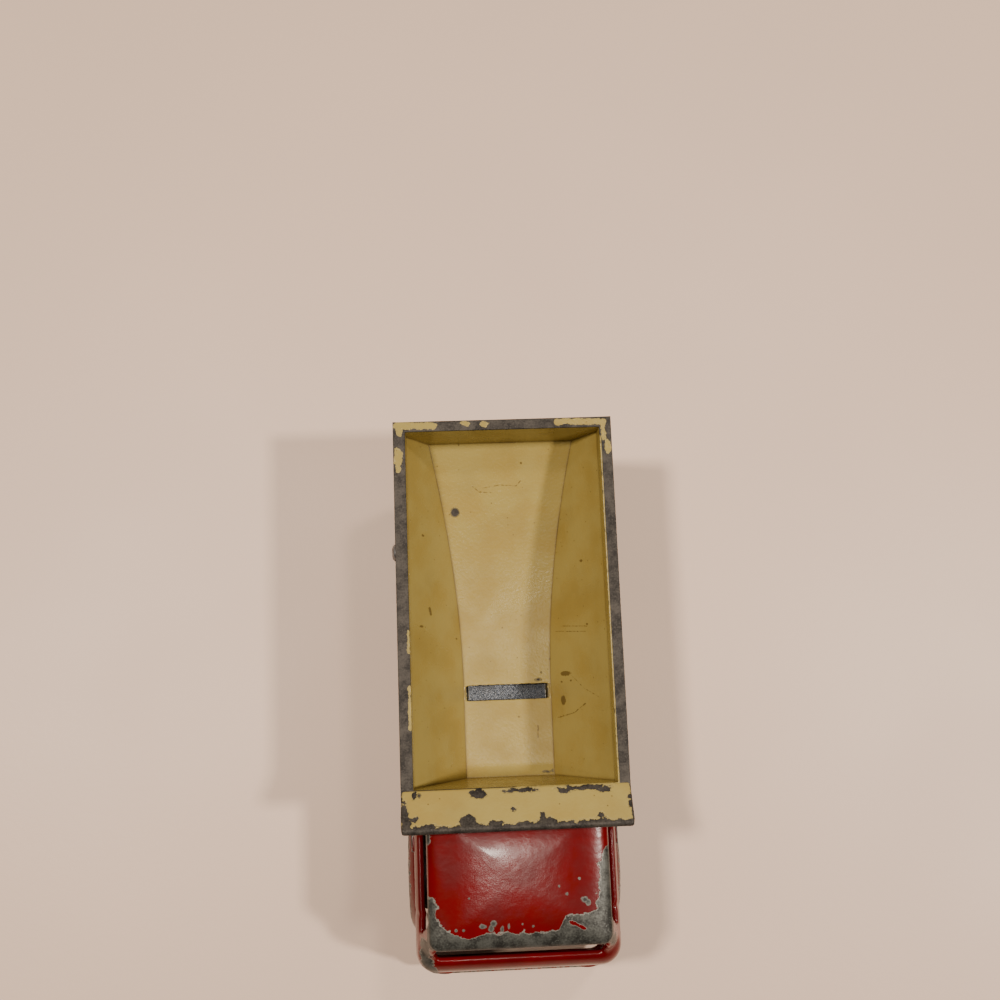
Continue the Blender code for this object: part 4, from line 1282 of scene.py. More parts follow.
    def shield_wear(self, points: Array, edge: Array) -> Array:
        """Bare along the nose and the two ends of the shield, and in the chips on top."""
        x, y, z = points.T
        chips = (
            (-5.56, -12.6, 0.9, 0.72), (-2.46, -12.9, 0.78, 0.4), (0.92, -13.0, 0.36, 0.28),
            (2.85, -12.35, 0.3, 0.42), (3.4, -12.86, 0.9, 0.4), (6.49, -13.25, 0.8, 0.2),
            (9.06, -13.2, 1.0, 0.26), (-9.67, -12.93, 0.7, 0.24), (-11.43, -12.08, 0.42, 0.24),
            (9.22, -12.42, 0.34, 0.24), (12.74, -10.69, 0.4, 0.2), (12.8, -11.38, 0.45, 0.4),
            (12.95, -12.4, 0.26, 0.8), (-12.62, -11.56, 0.45, 1.2), (-12.31, -12.74, 0.5, 0.6),
            (-0.44, -11.4, 0.26, 0.2), (-4.24, -9.72, 0.94, 0.5), (0.52, -9.56, 1.22, 0.2),
            (5.36, -9.75, 0.6, 0.26), (7.63, -9.56, 2.3, 0.22), (10.04, -9.8, 0.7, 0.24),
            (-11.43, -9.7, 0.22, 0.28),
        )
        fields = [1.6 * ellipse_field(x, y, chip[:2], chip[2:]) + 0.16 for chip in chips]
        fields.append((self.nose + 1.0) - y + 0.08 * np.sin(0.9 * x))
        fields.append((-self.half_width + 0.3) - x)
        fields.append(x - (self.half_width - 0.22))
        top = np.where(z > self.rim_z - 0.2, 0.0, -0.5) + np.max(fields, axis=0)
        return np.maximum(top, 0.5 * (edge - 1.3))

    def ribs_surface(self) -> Surface:
        """Gussets from the rim's band to the foot of each sloping side."""
        made = Surface()
        count, thick = 5, 1.0
        y_all = np.linspace(self.front + 3.0, self.tail - 3.0, count)
        half = self.half_width - 0.15
        for side in (-1.0, 1.0):
            for y in y_all:
                low = max(self.floor_front_z + 2.4, float(self.floor_z(y)) + 0.4)
                outline = np.array(
                    [
                        (self.slope_x(low, 0.7), low),
                        (self.slope_x(low, self.side_wall + 0.9), low),
                        (half, self.rim_z - self.band - 1.4),
                        (half, self.rim_z - self.band + 0.9),
                        (half - 0.7, self.rim_z - self.band + 0.9),
                    ]
                )
                rib = plate(outline * (side, 1.0), Axis.Y, y - thick / 2, y + thick / 2)
                made.join(rib)
        return made

    def underside_surface(self) -> Surface:
        """The two hinge lugs and the two rails that the gate slides between."""
        made = Surface()
        pin_y, pin_z, radius = 28.5, 6.6, 1.5
        keeper_low, keeper_high = node_box("gate_keeper")
        gate_half = float(node_box("gate_slide")[1][0])
        ends_y = pin_y + np.array([-2.6, 2.6])
        top = np.column_stack([ends_y, self.floor_z(ends_y) - self.floor_thickness / 2])
        lug = np.concatenate([top, arc((pin_y, pin_z), radius, 0.0, -180.0, 20)])
        floor = self.floor_front_z - self.floor_thickness
        for side in (-1.0, 1.0):
            ends = sorted((side * 4.85, side * 6.05))
            rail_ends = sorted((side * (gate_half + 0.15), side * float(keeper_high[0])))
            rail = np.array(
                [
                    (float(keeper_low[1]), float(keeper_high[2]) + 0.05),
                    (float(keeper_high[1]), float(keeper_high[2]) + 0.05),
                    (float(keeper_high[1]), floor + 0.4),
                    (float(keeper_low[1]), floor + 0.4),
                ]
            )
            made.join(plate(lug, Axis.X, *ends))
            made.join(plate(rail, Axis.X, *rail_ends))
        return made

    def build(self, finishes: Finishes) -> None:
        """Makes and dresses the hopper's pieces."""
        cream = finishes.cream
        tub = closed_mesh("hopper_tub", self.tub_surface())
        finish_piece(
            "hopper_tub", tub, Finishing(smooth=2, sharp_angle=180), cream,
            Body.HOPPER, ("hopper",), self.tub_wear,
        )
        shield = closed_mesh("hopper_shield", self.shield_surface())
        finish_piece(
            "hopper_shield", shield, Finishing(smooth=1, sharp_angle=60), finishes.handled,
            Body.HOPPER, (), self.shield_wear,
        )
        ribs = closed_mesh("hopper_ribs", self.ribs_surface())
        finish_piece(
            "hopper_ribs", ribs, Finishing(bevel=0.18, bevel_angle=20), cream,
            Body.HOPPER,
        )
        under = closed_mesh("hopper_lugs", self.underside_surface())
        finish_piece(
            "hopper_lugs", under, Finishing(bevel=0.12, bevel_angle=40), cream,
            Body.HOPPER,
        )


# --- Slide gate ----------------------------------------------------------------------
@dataclass
class Gate:
    """The steel slide under the floor, its keeper plate and the keeper's rivets."""

    slide_rounding: float = 0.12
    keeper_rounding: float = 0.07
    rivet_segments: int = 32

    def build(self, finishes: Finishes) -> None:
        """Makes and dresses the slide, the keeper and its rivets."""
        finish_piece(
            "gate_plate", cad_copy("gate_slide"), Finishing(bevel=self.slide_rounding),
            finishes.slide, Body.GATE, ("gate_slide",),
        )
        finish_piece(
            "keeper_plate", cad_copy("gate_keeper"), Finishing(bevel=self.keeper_rounding),
            finishes.zinc, Body.HOPPER, ("gate_keeper",),
        )
        for word in ("left", "right"):
            self.build_rivet(f"keeper_rivet_{word}", finishes)

    def build_rivet(self, node: str, finishes: Finishes) -> None:
        """A small shank under a domed head, turned about its own axis."""
        low, high = node_box(node)
        middle, head = (low + high) / 2, (high[0] - low[0]) / 2
        shank, seat = head - 0.2, low[2] + 0.12
        turn = np.radians(np.linspace(90.0, 0.0, 7))
        dome = np.column_stack([seat - 0.12 * np.sin(turn), head * np.cos(turn)])
        dome[0, 1] = 0.0
        stem = np.array([(seat, shank), (high[2], shank), (high[2], 0.0)])
        rings = turned(
            np.concatenate([dome, stem]), middle[:2], self.rivet_segments, Axis.Z
        )
        surface = Surface()
        surface.add(rings, grid_faces(len(rings), self.rivet_segments, around=True))
        mesh = closed_mesh(f"{node}_head", surface)
        finish_piece(
            f"{node}_head", mesh, Finishing(), finishes.zinc, Body.HOPPER, (node,)
        )


# --- Cab -----------------------------------------------------------------------------
@dataclass(frozen=True)
class Opening:
    """A hole in the cab's skin.

    Attributes:
        gap: Gives how far outside the hole's outline each point is.
        applies: Gives which points lie on the side of the cab that the hole is in.
    """

    gap: Callable[[Array], Array]
    applies: Callable[[Array], Array]

    def cut(self, points: Array, faces: Array) -> tuple[Array, Array]:
        """Drops the faces whose middles are in the hole and moves the loose edge onto it.

        A point moves by its gap against the gap's slope, which is taken from small steps
        along each axis.
        """
        middles = points[faces].mean(axis=1)
        inside = self.applies(middles) & (self.gap(middles) < 0.0)
        edge = np.intersect1d(np.unique(faces[inside]), np.unique(faces[~inside]))
        loose = points[edge]
        steps = np.eye(3) * 1e-3
        slope = np.stack([self.gap(loose + s) - self.gap(loose - s) for s in steps], axis=-1)
        slope = slope / 2e-3
        size = np.maximum((slope**2).sum(axis=1), 0.1)
        moved = points.copy()
        moved[edge] = loose - slope * (self.gap(loose) / size)[:, None]
        return moved, faces[~inside]


@dataclass
class Cab:
    """The red cab: its cast skin with open windows, bumper, arches, lamps and handles.

    Attributes:
        levels: Rows of height, and how far the front, side and rear stand back there,
            with the radius of the front corners.
        half_width: Half the width of the body.
        rear_corner: The radius of the rear corners.
        sill: The height of the windows' lower edges.
        header: The height of their upper edges.
        shoulder: The height where the roof starts.
        roof_rise: The height of the roof above it.
        roof_power: How square the roof's dome is.
        wall: The thickness of the casting.
        arch: The radius of the wheel arches.
        flare: How far the arches' lips stand out.
        seam_depth: The depth of the door seams.
        lamp: The radius of a headlamp.
    """

    levels: tuple[tuple[float, ...], ...] = (
        (3.2, 1.15, 0.10, 0.0, 2.5),
        (5.0, 0.85, 0.0, 0.0, 2.5),
        (8.2, 1.0, 0.0, 0.0, 2.5),
        (10.0, 1.4, 0.0, 0.0, 2.5),
        (12.0, 1.95, 0.0, 0.0, 2.5),
        (14.0, 2.35, 0.0, 0.0, 2.5),
        (15.6, 2.75, 0.06, 0.0, 2.4),
        (16.6, 3.1, 0.18, 0.0, 2.3),
        (17.3, 3.6, 0.36, 0.0, 2.2),
        (17.75, 4.15, 0.55, 0.0, 2.2),
        (18.0, 4.6, 0.65, 0.0, 2.2),
        (20.05, 5.4, 1.2, 0.0, 1.7),
        (22.0, 6.5, 1.75, 0.1, 1.2),
    )
    half_width: float = 12.1
    rear_corner: float = 0.9
    sill: float = 18.0
    header: float = 21.7
    shoulder: float = 22.0
    roof_rise: float = 1.5
    roof_power: float = 3.0
    wall: float = 0.8
    arch: float = 6.1
    flare: float = 0.84
    seam_depth: float = 0.16
    lamp: float = 1.25

    def __post_init__(self) -> None:
        """Takes the cab's ends and the wheel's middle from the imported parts."""
        low, high = node_box("cab")
        self.front, self.rear = float(low[1]), float(high[1])
        wheel_low, wheel_high = node_box("front_tyre_left")
        self.wheel = tuple((wheel_low + wheel_high)[1:] / 2)

    def at_height(self, z: Array) -> tuple[Array, Array, Array, Array]:
        """The front, side and rear faces and the front corners' radius at a height."""
        table = np.array(self.levels)
        values = [np.interp(z, table[:, 0], table[:, i]) for i in range(1, 5)]
        front, side, rear, corner = values
        return self.front + front, self.half_width - side, self.rear - rear, corner

    def ring(self, z: Array) -> Array:
        """The outline at each height, from the rear's middle round the right and back.

        Returns:
            Points in an array of heights by columns by 3.
        """
        front, side, rear, corner = (value[:, None] for value in self.at_height(z))
        share = np.linspace(0.0, 1.0, 13)
        x = [share * (side - self.rear_corner)]
        y = [rear + 0 * share]
        turn = np.radians(np.linspace(90.0, 0.0, 5))[1:]
        x.append(side - self.rear_corner + self.rear_corner * np.cos(turn))
        y.append(rear - self.rear_corner + self.rear_corner * np.sin(turn))
        fixed = np.array([-12.75, -13.36, -13.6, -13.84, -14.4])
        fixed = np.concatenate([fixed, np.linspace(-14.4, -24.0, 26)[1:]])
        start = front + corner
        ahead = np.array([0.18, 0.34, 0.44, 0.5, 0.56, 0.7, 0.85, 1.0])
        x.append(side + 0 * fixed)
        y.append(fixed + 0 * side)
        x.append(side + 0 * ahead)
        y.append(-24.0 + (start + 24.0) * ahead)
        turn = np.radians(np.linspace(0.0, -90.0, 9))[1:]
        x.append(side - corner + corner * np.cos(turn))
        y.append(start + corner * np.sin(turn))
        share = np.linspace(1.0, 0.0, 22)[1:]
        x.append(share * (side - corner))
        y.append(front + 0 * share)
        right_x, right_y = np.concatenate(x, axis=1), np.concatenate(y, axis=1)
        seams = self.seam_depth * smooth_step(z, 9.7, 10.3) * smooth_step(-z, -21.9, -21.5)
        right_x[:, 19] -= seams
        right_x[:, 45] -= seams
        all_x = np.concatenate([right_x, -right_x[:, -2:0:-1]], axis=1)
        all_y = np.concatenate([right_y, right_y[:, -2:0:-1]], axis=1)
        return np.stack([all_x, all_y, np.repeat(z[:, None], all_x.shape[1], axis=1)], axis=-1)

    def roof_rings(self, outline: Array) -> Array:
        """The shoulder's outline shrunk towards its middle, ring by ring, under a dome.

        A ring shrunk to the share r stands at rise * (1 - r^p)^(1/p) above the shoulder.
        """
        share = np.array([0.9935, 0.982, 0.963, 0.935, 0.90])
        share = np.concatenate([share, np.linspace(0.90, 0.12, 16)[1:]])
        middle = np.array([0.0, (outline[:, 1].min() + outline[:, 1].max()) / 2, 0.0])
        rings = middle + (outline - middle)[None] * share[:, None, None]
        height = (1.0 - share**self.roof_power) ** (1.0 / self.roof_power)
        rings[:, :, 2] = self.shoulder + self.roof_rise * height[:, None]
        return rings

    def openings(self) -> list[Opening]:
        """The windscreen, side windows, arches, grille slots and the chassis notch."""
        middle_z, half_z = (self.sill + self.header) / 2, (self.header - self.sill) / 2

        def windscreen(p: Array) -> Array:
            return rounded_outline(np.abs(p[:, 0]) - 9.9, np.abs(p[:, 2] - middle_z) - half_z, 0.5)

        def side_window(p: Array) -> Array:
            rake = 0.43 * (p[:, 2] - self.sill)
            across = np.maximum(p[:, 1] + 14.4, -25.75 + rake - p[:, 1])
            return rounded_outline(across, np.abs(p[:, 2] - middle_z) - half_z, 0.5)

        def arch(p: Array) -> Array:
            return np.hypot(p[:, 1] - self.wheel[0], p[:, 2] - self.wheel[1]) - self.arch

        def grille(p: Array) -> Array:
            slot = np.mod(p[:, 2] - 5.84, 0.95) - 0.225
            height = np.abs(slot - 0.0) - 0.225
            inside = (p[:, 2] > 5.7) & (p[:, 2] < 9.3)
            return np.where(inside, np.maximum(np.abs(p[:, 0]) - 6.4, height), 1.0)

        def notch(p: Array) -> Array:
            return np.maximum(np.abs(p[:, 0]) - 4.85, p[:, 2] - 7.35)

        return [
            Opening(windscreen, lambda p: p[:, 1] < -25.9),
            Opening(side_window, lambda p: np.abs(p[:, 0]) > 9.6),
            Opening(arch, lambda p: np.abs(p[:, 0]) > 9.6),
            Opening(grille, lambda p: p[:, 1] < -30.0),
            Opening(notch, lambda p: p[:, 1] > self.rear - 1.0),
        ]

    def skin_surface(self) -> Surface:
        """The body's rings and the roof's, with the openings cut and the crown closed."""
        low = np.array([3.2, 3.6, 4.1, 4.6, 5.1, 5.5])
        slots = (5.84 + 0.95 * np.arange(4)[:, None] + np.array([0.0, 0.45])).ravel()
        body = np.linspace(9.55, self.sill, 21)
        window = np.linspace(self.sill, self.header, 10)[1:]
        z = np.concatenate([low, slots, body, window, [self.shoulder]])
        walls = self.ring(z)
        rings = np.concatenate([walls, self.roof_rings(walls[-1])])
        rows, columns = rings.shape[:2]
        points, faces = rings.reshape(-1, 3), grid_faces(rows, columns, around=True)
        for opening in self.openings():
            points, faces = opening.cut(points, faces)
        crown = np.arange(rows * columns - columns, rows * columns)
        used = np.unique(np.concatenate([faces.ravel(), crown]))
        place = np.zeros(len(points), int)
        place[used] = np.arange(len(used))
        made = Surface()
        made.add(points[used], place[faces])
        made.faces.append(place[crown].tolist())
        return made

    def skin_wear(self, points: Array, edge: Array) -> Array:
        """Bare in a broad band round the front and right of the roof, and at its corners."""
        x, y, z = points.T
        right_y = (-26.0, -23.9, -22.5, -21.5, -20.0, -18.0, -17.2, -16.2, -15.65, -14.5)
        right_x = (8.1, 8.2, 8.4, 8.7, 8.95, 9.0, 9.5, 9.85, 10.35, 10.9)
        ahead_x = (-10.0, -8.8, -7.2, -6.0, -4.9, -4.0, 0.0, 4.2, 4.7, 7.7, 9.5)
        ahead_y = (-22.5, -23.9, -25.0, -25.35, -25.1, -24.9, -24.95, -24.9, -23.6, -23.1, -22.8)
        right = x - np.interp(y, right_y, right_x)
        ahead = np.interp(x, ahead_x, ahead_y) - y
        left = np.minimum(-9.35 - x, -20.9 - y)
        rear_left = ellipse_field(x, y, (-10.7, -14.5), (0.75, 1.1))
        roof = np.max([right, ahead, left, rear_left], axis=0)
        sliver = stroke_field(x, y, ((5.5, -24.05), (7.1, -24.85)), 0.16)
        roof = np.minimum(roof, -3.0 * sliver)
        roof = np.minimum(roof, (z - 21.35) * 1.6)
        corner = ((-10.75, -26.3), (-10.95, -27.8), (-10.75, -29.0), (-10.1, -30.2))
        pillar = stroke_field(x, y, corner, 0.6)
        pillar = np.minimum(pillar, (z - 9.0) * 0.3)
        right = stroke_field(x, y, ((10.6, -26.4), (10.75, -27.4)), 0.42)
        return np.max([roof, pillar, np.minimum(right, z - 17.0), 0.8 * (edge - 0.8)], axis=0)

    def build_skin(self, finishes: Finishes) -> None:
        """Makes the cast body and roof."""
        mesh = closed_mesh("cab_body", self.skin_surface())
        finish_piece(
            "cab_body", mesh, Finishing(wall=self.wall, smooth=1, sharp_angle=180),
            finishes.red, Body.CHASSIS, ("cab",), self.skin_wear,
        )

    def build_bumper(self, finishes: Finishes) -> None:
        """Sweeps a rounded bar round the front, from arch to arch."""
        low, high, half, corner = 3.3, 5.4, 12.15, 2.5
        deep = 1.15
        turn = np.radians(np.linspace(0.0, -90.0, 12))
        right = np.column_stack(
            [half - corner + corner * np.cos(turn), self.front + corner + corner * np.sin(turn)]
        )
        side = np.column_stack([np.full(5, half), np.linspace(-28.35, self.front + corner, 5)])
        middle = np.column_stack([np.linspace(half - corner, 0.0, 24), np.full(24, self.front)])
        path = np.concatenate([side[:-1], right, middle[1:]])
        path = np.concatenate([path, path[-2::-1] * (-1.0, 1.0)])
        along = np.gradient(path, axis=0)
        along = along / np.linalg.norm(along, axis=1, keepdims=True)
        outward = np.column_stack([-along[:, 1], along[:, 0], 0 * along[:, 0]])
        outward = outward * np.sign((outward[:, :2] * (path - (0.0, -28.0))).sum(axis=1))[:, None]
        turn = np.radians(np.linspace(0.0, 360.0, 28, endpoint=False))
        corner_x = np.sign(np.cos(turn)) * np.abs(np.cos(turn)) ** 0.45 * deep / 2 - deep / 2
        corner_z = np.sign(np.sin(turn)) * np.abs(np.sin(turn)) ** 0.45 * (high - low) / 2
        section = np.column_stack([corner_x, corner_z + (high + low) / 2])
        path = np.column_stack([path, 0 * path[:, 0]])
        up = np.tile((0.0, 0.0, 1.0), (len(path), 1))
        points = swept(section, path, outward, up)
        made = Surface()
        made.add(points, grid_faces(len(path), len(section), around=True))
        count = len(section)
        made.faces.append(list(range(count)))
        made.faces.append([i + count * (len(path) - 1) for i in range(count)])
        mesh = closed_mesh("cab_bumper", made)
        finish_piece(
            "cab_bumper", mesh, Finishing(smooth=1, sharp_angle=60), finishes.red,
            Body.CHASSIS, (), self.bumper_wear,
        )

    def bumper_wear(self, points: Array, edge: Array) -> Array:
        """Rubbed bare along the most forward line, most of all at the left corner."""
        x, y, _ = points.T
        front = (self.front + 0.24) - y + 0.25 * smooth_step(-x, 4.0, 9.0)
        corner = ellipse_field(x, y, (-10.6, -31.6), (1.3, 1.5))
        side = np.abs(x) - 12.02
        return np.max([0.6 * front, corner, side], axis=0)

    def arch_wear(self, points: Array, edge: Array) -> Array:
        """Rubbed bare where an arch's lip stands out the most."""
        return 1.2 * (np.abs(points[:, 0]) - self.half_width - self.flare + 0.16)

    def build_arches(self, finishes: Finishes) -> None:
        """Carries a lip round each wheel arch: full at the arch, down to the skin outside."""
        reach = 1.8
        made = Surface()
        start = np.degrees(np.arcsin((self.wheel[1] - 3.6) / (self.arch + reach)))
        turn = np.radians(np.linspace(-start, 180.0 + start, 72))
        spoke = np.column_stack([0 * turn, np.cos(turn), np.sin(turn)])
        share = np.linspace(0.0, 1.0, 9)
        top = np.column_stack(
            [self.arch + 0.14 + (reach - 0.12) * share**1.2, self.flare * (1.0 - share**2.2)]
        )
        low = [(self.arch + reach, -0.35), (self.arch + 0.02, -0.35), (self.arch + 0.02, 0.1)]
        low = np.array([*low, (self.arch + 0.02, self.flare - 0.12)])
        section = np.concatenate([top, low])
        for side in (-1.0, 1.0):
            centre = np.array([side * self.half_width, *self.wheel])
            path = np.tile(centre, (len(turn), 1))
            points = swept(section, path, spoke, np.tile((side, 0.0, 0.0), (len(turn), 1)))
            lip = Surface()
            lip.add(points, grid_faces(len(turn), len(section), around=True))
            count = len(section)
            lip.faces.append(list(range(count)))
            lip.faces.append([i + count * (len(turn) - 1) for i in range(count)])
            made.join(lip)
        mesh = closed_mesh("cab_arches", made)
        finish_piece(
            "cab_arches", mesh, Finishing(smooth=1, sharp_angle=180), finishes.red,
            Body.CHASSIS, (), self.arch_wear,
        )

    def build_lamps(self, finishes: Finishes) -> None:
        """Turns a round bezel and a shallow lens for each headlamp."""
        made = Surface()
        r = self.lamp
        face = self.front + 1.16
        profile = np.array(
            [
                (face - 0.42, 0.0), (face - 0.40, 0.3 * r), (face - 0.33, 0.55 * r),
                (face - 0.20, 0.74 * r), (face - 0.12, 0.78 * r), (face - 0.34, 0.82 * r),
                (face - 0.42, 0.88 * r), (face - 0.40, 0.95 * r), (face - 0.28, r),
                (face + 0.9, r), (face + 0.9, 0.0),
            ]
        )
        for side in (-1.0, 1.0):
            rings = turned(profile, (side * 8.8, 7.16), 48, Axis.Y)
            lamp = Surface()
            lamp.add(rings, grid_faces(len(rings), 48, around=True))
            made.join(lamp)
        mesh = closed_mesh("cab_headlamps", made)
        finish_piece(
            "cab_headlamps", mesh, Finishing(sharp_angle=40), finishes.red,
            Body.CHASSIS,
        )

    def build_handles(self, finishes: Finishes) -> None:
        """A small bar below each side window, and the block that stands on the chassis."""
        made = Surface()
        for side in (-1.0, 1.0):
            outline = np.array([(-17.0, 15.2), (-15.0, 15.2), (-15.0, 15.7), (-17.0, 15.7)])
            ends = sorted((side * (self.half_width - 0.3), side * (self.half_width + 0.22)))
            made.join(plate(outline, Axis.X, *ends))
        foot = np.array([(-15.8, 7.35), (-11.6, 7.35), (-11.6, 9.05), (-15.8, 9.05)])
        made.join(plate(foot, Axis.X, -8.1, 8.1))
        mesh = closed_mesh("cab_fittings", made)
        finish_piece(
            "cab_fittings", mesh, Finishing(bevel=0.14), finishes.red, Body.CHASSIS
        )

    def build(self, finishes: Finishes) -> None:
        """Makes and dresses every piece of the cab."""
        self.build_skin(finishes)
        self.build_bumper(finishes)
        self.build_arches(finishes)
        self.build_lamps(finishes)
        self.build_handles(finishes)


# --- Chassis -------------------------------------------------------------------------
@dataclass
class Chassis:
    """The rails and cross members, the base plate, its rivets, the axles and the pin."""

    rounding: float = 0.1
    segments: int = 48

    def rod(self, node: str, axis: Axis, profile: Array, finishes: Finishes) -> None:
        """Turns a profile about the middle of a node and puts it in the node's place."""
        low, high = node_box(node)
        middle = np.delete((low + high) / 2, axis.value)
        rings = turned(profile, middle, self.segments, axis)
        surface = Surface()
        surface.add(rings, grid_faces(len(rings), self.segments, around=True))
        mesh = closed_mesh(f"{node}_turned", surface)
        finish_piece(
            f"{node}_turned", mesh, Finishing(sharp_angle=40), finishes.steel,
            Body.CHASSIS, (node,),
        )

    def axle(self, node: str, head: float, head_radius: float, radius: float) -> Array:
        """Half an axle's length is mirrored: a shank, then a rounded, peened head."""
        low, high = node_box(node)
        end = float(high[0])
        turn = np.radians(np.linspace(0.0, 90.0, 9))
        bulge = 0.55 * head
        cap = np.column_stack(
            [end - bulge + bulge * np.sin(turn), head_radius * np.cos(turn) ** 0.6]
        )
        cap[-1, 1] = 0.0
        dimple = np.array([(end - 0.1, 0.22 * head_radius), (end - 0.12, 0.0)])
        cap = np.concatenate([cap[:-1], dimple])
        half = np.concatenate([[(end - head, radius), (end - head, head_radius)], cap])
        return np.concatenate([half[::-1] * (-1.0, 1.0), half])

    def rivet(self, node: str, shank: float, head: float) -> Array:
        """A base rivet's profile from its domed head below to the top of its shank."""
        low, high = node_box(node)
        seat = float(node_box("base_plate")[0][2])
        turn = np.radians(np.linspace(90.0, 0.0, 9))
        dome = np.column_stack([seat - (seat - low[2]) * np.sin(turn), head * np.cos(turn) ** 0.8])
        dome[0, 1] = 0.0
        stem = [(seat, shank), (high[2] - 0.1, shank), (high[2], shank - 0.1), (high[2], 0.0)]
        return np.concatenate([dome, stem])

    def build(self, finishes: Finishes) -> None:
        """Makes and dresses the chassis's pieces."""
        finish_piece(
            "chassis_rails", cad_copy("chassis_frame"), Finishing(bevel=self.rounding),
            finishes.zinc, Body.CHASSIS, ("chassis_frame",),
        )
        finish_piece(
            "base_cover", cad_copy("base_plate"), Finishing(bevel=self.rounding),
            finishes.zinc, Body.CHASSIS, ("base_plate",),
        )
        self.rod("front_axle", Axis.X, self.axle("front_axle", 0.6, 1.2, 0.8), finishes)
        self.rod("rear_axle", Axis.X, self.axle("rear_axle", 1.15, 1.2, 0.8), finishes)
        for node in ("base_rivet_front", "base_rivet_rear"):
            self.rod(node, Axis.Z, self.rivet(node, 0.8, 1.5), finishes)
        end = float(node_box("hinge_pin")[1][0])
        turn = np.radians(np.linspace(0.0, 90.0, 6))
        cap = np.column_stack([end - 0.2 + 0.2 * np.sin(turn), 0.5 + 0.2 * np.cos(turn)])
        half = np.concatenate([cap, [(end, 0.0)]])
        pin = np.concatenate([half[::-1] * (-1.0, 1.0), half])
        self.rod("hinge_pin", Axis.X, pin, finishes)


# --- Wheels --------------------------------------------------------------------------
@dataclass
class Tyre:
    """A moulded tyre with a grooved tread.

    Attributes:
        node: The CAD node that it stands for.
        body: The wheel that it turns with.
        inner: The radius of its seat.
        lugs: How many tread blocks stand round it.
        groove: The depth of the tread's grooves.
        segments: How many points each ring has.
    """

    node: str
    body: Body
    inner: float = 3.45
    lugs: int = 22
    groove: float = 0.22
    segments: int = 264

    def build(self, finishes: Finishes) -> None:
        """Turns the tyre's section and presses the tread into it.

        Rings of the tread sink by the groove's depth along two lines round the tyre, and
        across its shoulders between blocks whose edges slant with the distance from the
        middle.
        """
        low, high = node_box(self.node)
        middle, half = (low + high) / 2, float(high[0] - low[0]) / 2
        outer = float(high[2] - low[2]) / 2
        tread = half - 0.42
        side = np.radians(np.linspace(0.0, 90.0, 7))
        shoulder = np.column_stack([tread + 0.42 * np.sin(side), outer - 0.42 + 0.42 * np.cos(side)])
        wall = np.array(
            [
                (half - 0.02, outer - 0.75), (half - 0.14, outer - 1.0),
                (half - 0.16, outer - 1.2), (half - 0.05, outer - 1.45),
                (half - 0.05, self.inner + 0.12), (half - 0.17, self.inner),
            ]
        )
        across = np.linspace(0.0, tread, 15)[:-1]
        right = np.concatenate([np.column_stack([across, np.full(14, outer)]), shoulder, wall])
        profile = np.concatenate([right, right[:0:-1] * (-1.0, 1.0)])
        rings = turned(profile + (middle[0], 0.0), middle[1:], self.segments)
        turn = np.linspace(0.0, 2.0 * np.pi, self.segments, endpoint=False)[None, :]
        away = np.abs(profile[:, :1])
        round_groove = smooth_step(0.26 - np.abs(away - 0.34 * half), 0.0, 0.16)
        phase = np.mod(turn * self.lugs / (2.0 * np.pi) + 0.55 * away / half, 1.0)
        gap = smooth_step(0.19 - np.abs(phase - 0.5), 0.0, 0.1)
        shoulder_groove = gap * smooth_step(away, 0.42 * half, 0.55 * half)
        fade = smooth_step(profile[:, 1:], outer - 0.75, outer - 0.3)
        sunk = self.groove * np.maximum(round_groove, shoulder_groove) * fade
        spoke = rings - np.array([0.0, *middle[1:]])
        spoke[:, :, 0] = 0.0
        radius = np.linalg.norm(spoke, axis=-1)
        rings = rings - spoke * (sunk / radius)[:, :, None]
        surface = Surface()
        surface.add(rings, grid_faces(len(rings), self.segments, around=True, along=True))
        name = f"{self.node}_tread"
        mesh = closed_mesh(name, surface)
        finish_piece(
            name, mesh, Finishing(sharp_angle=55), finishes.rubber, self.body,
            (self.node,),
        )


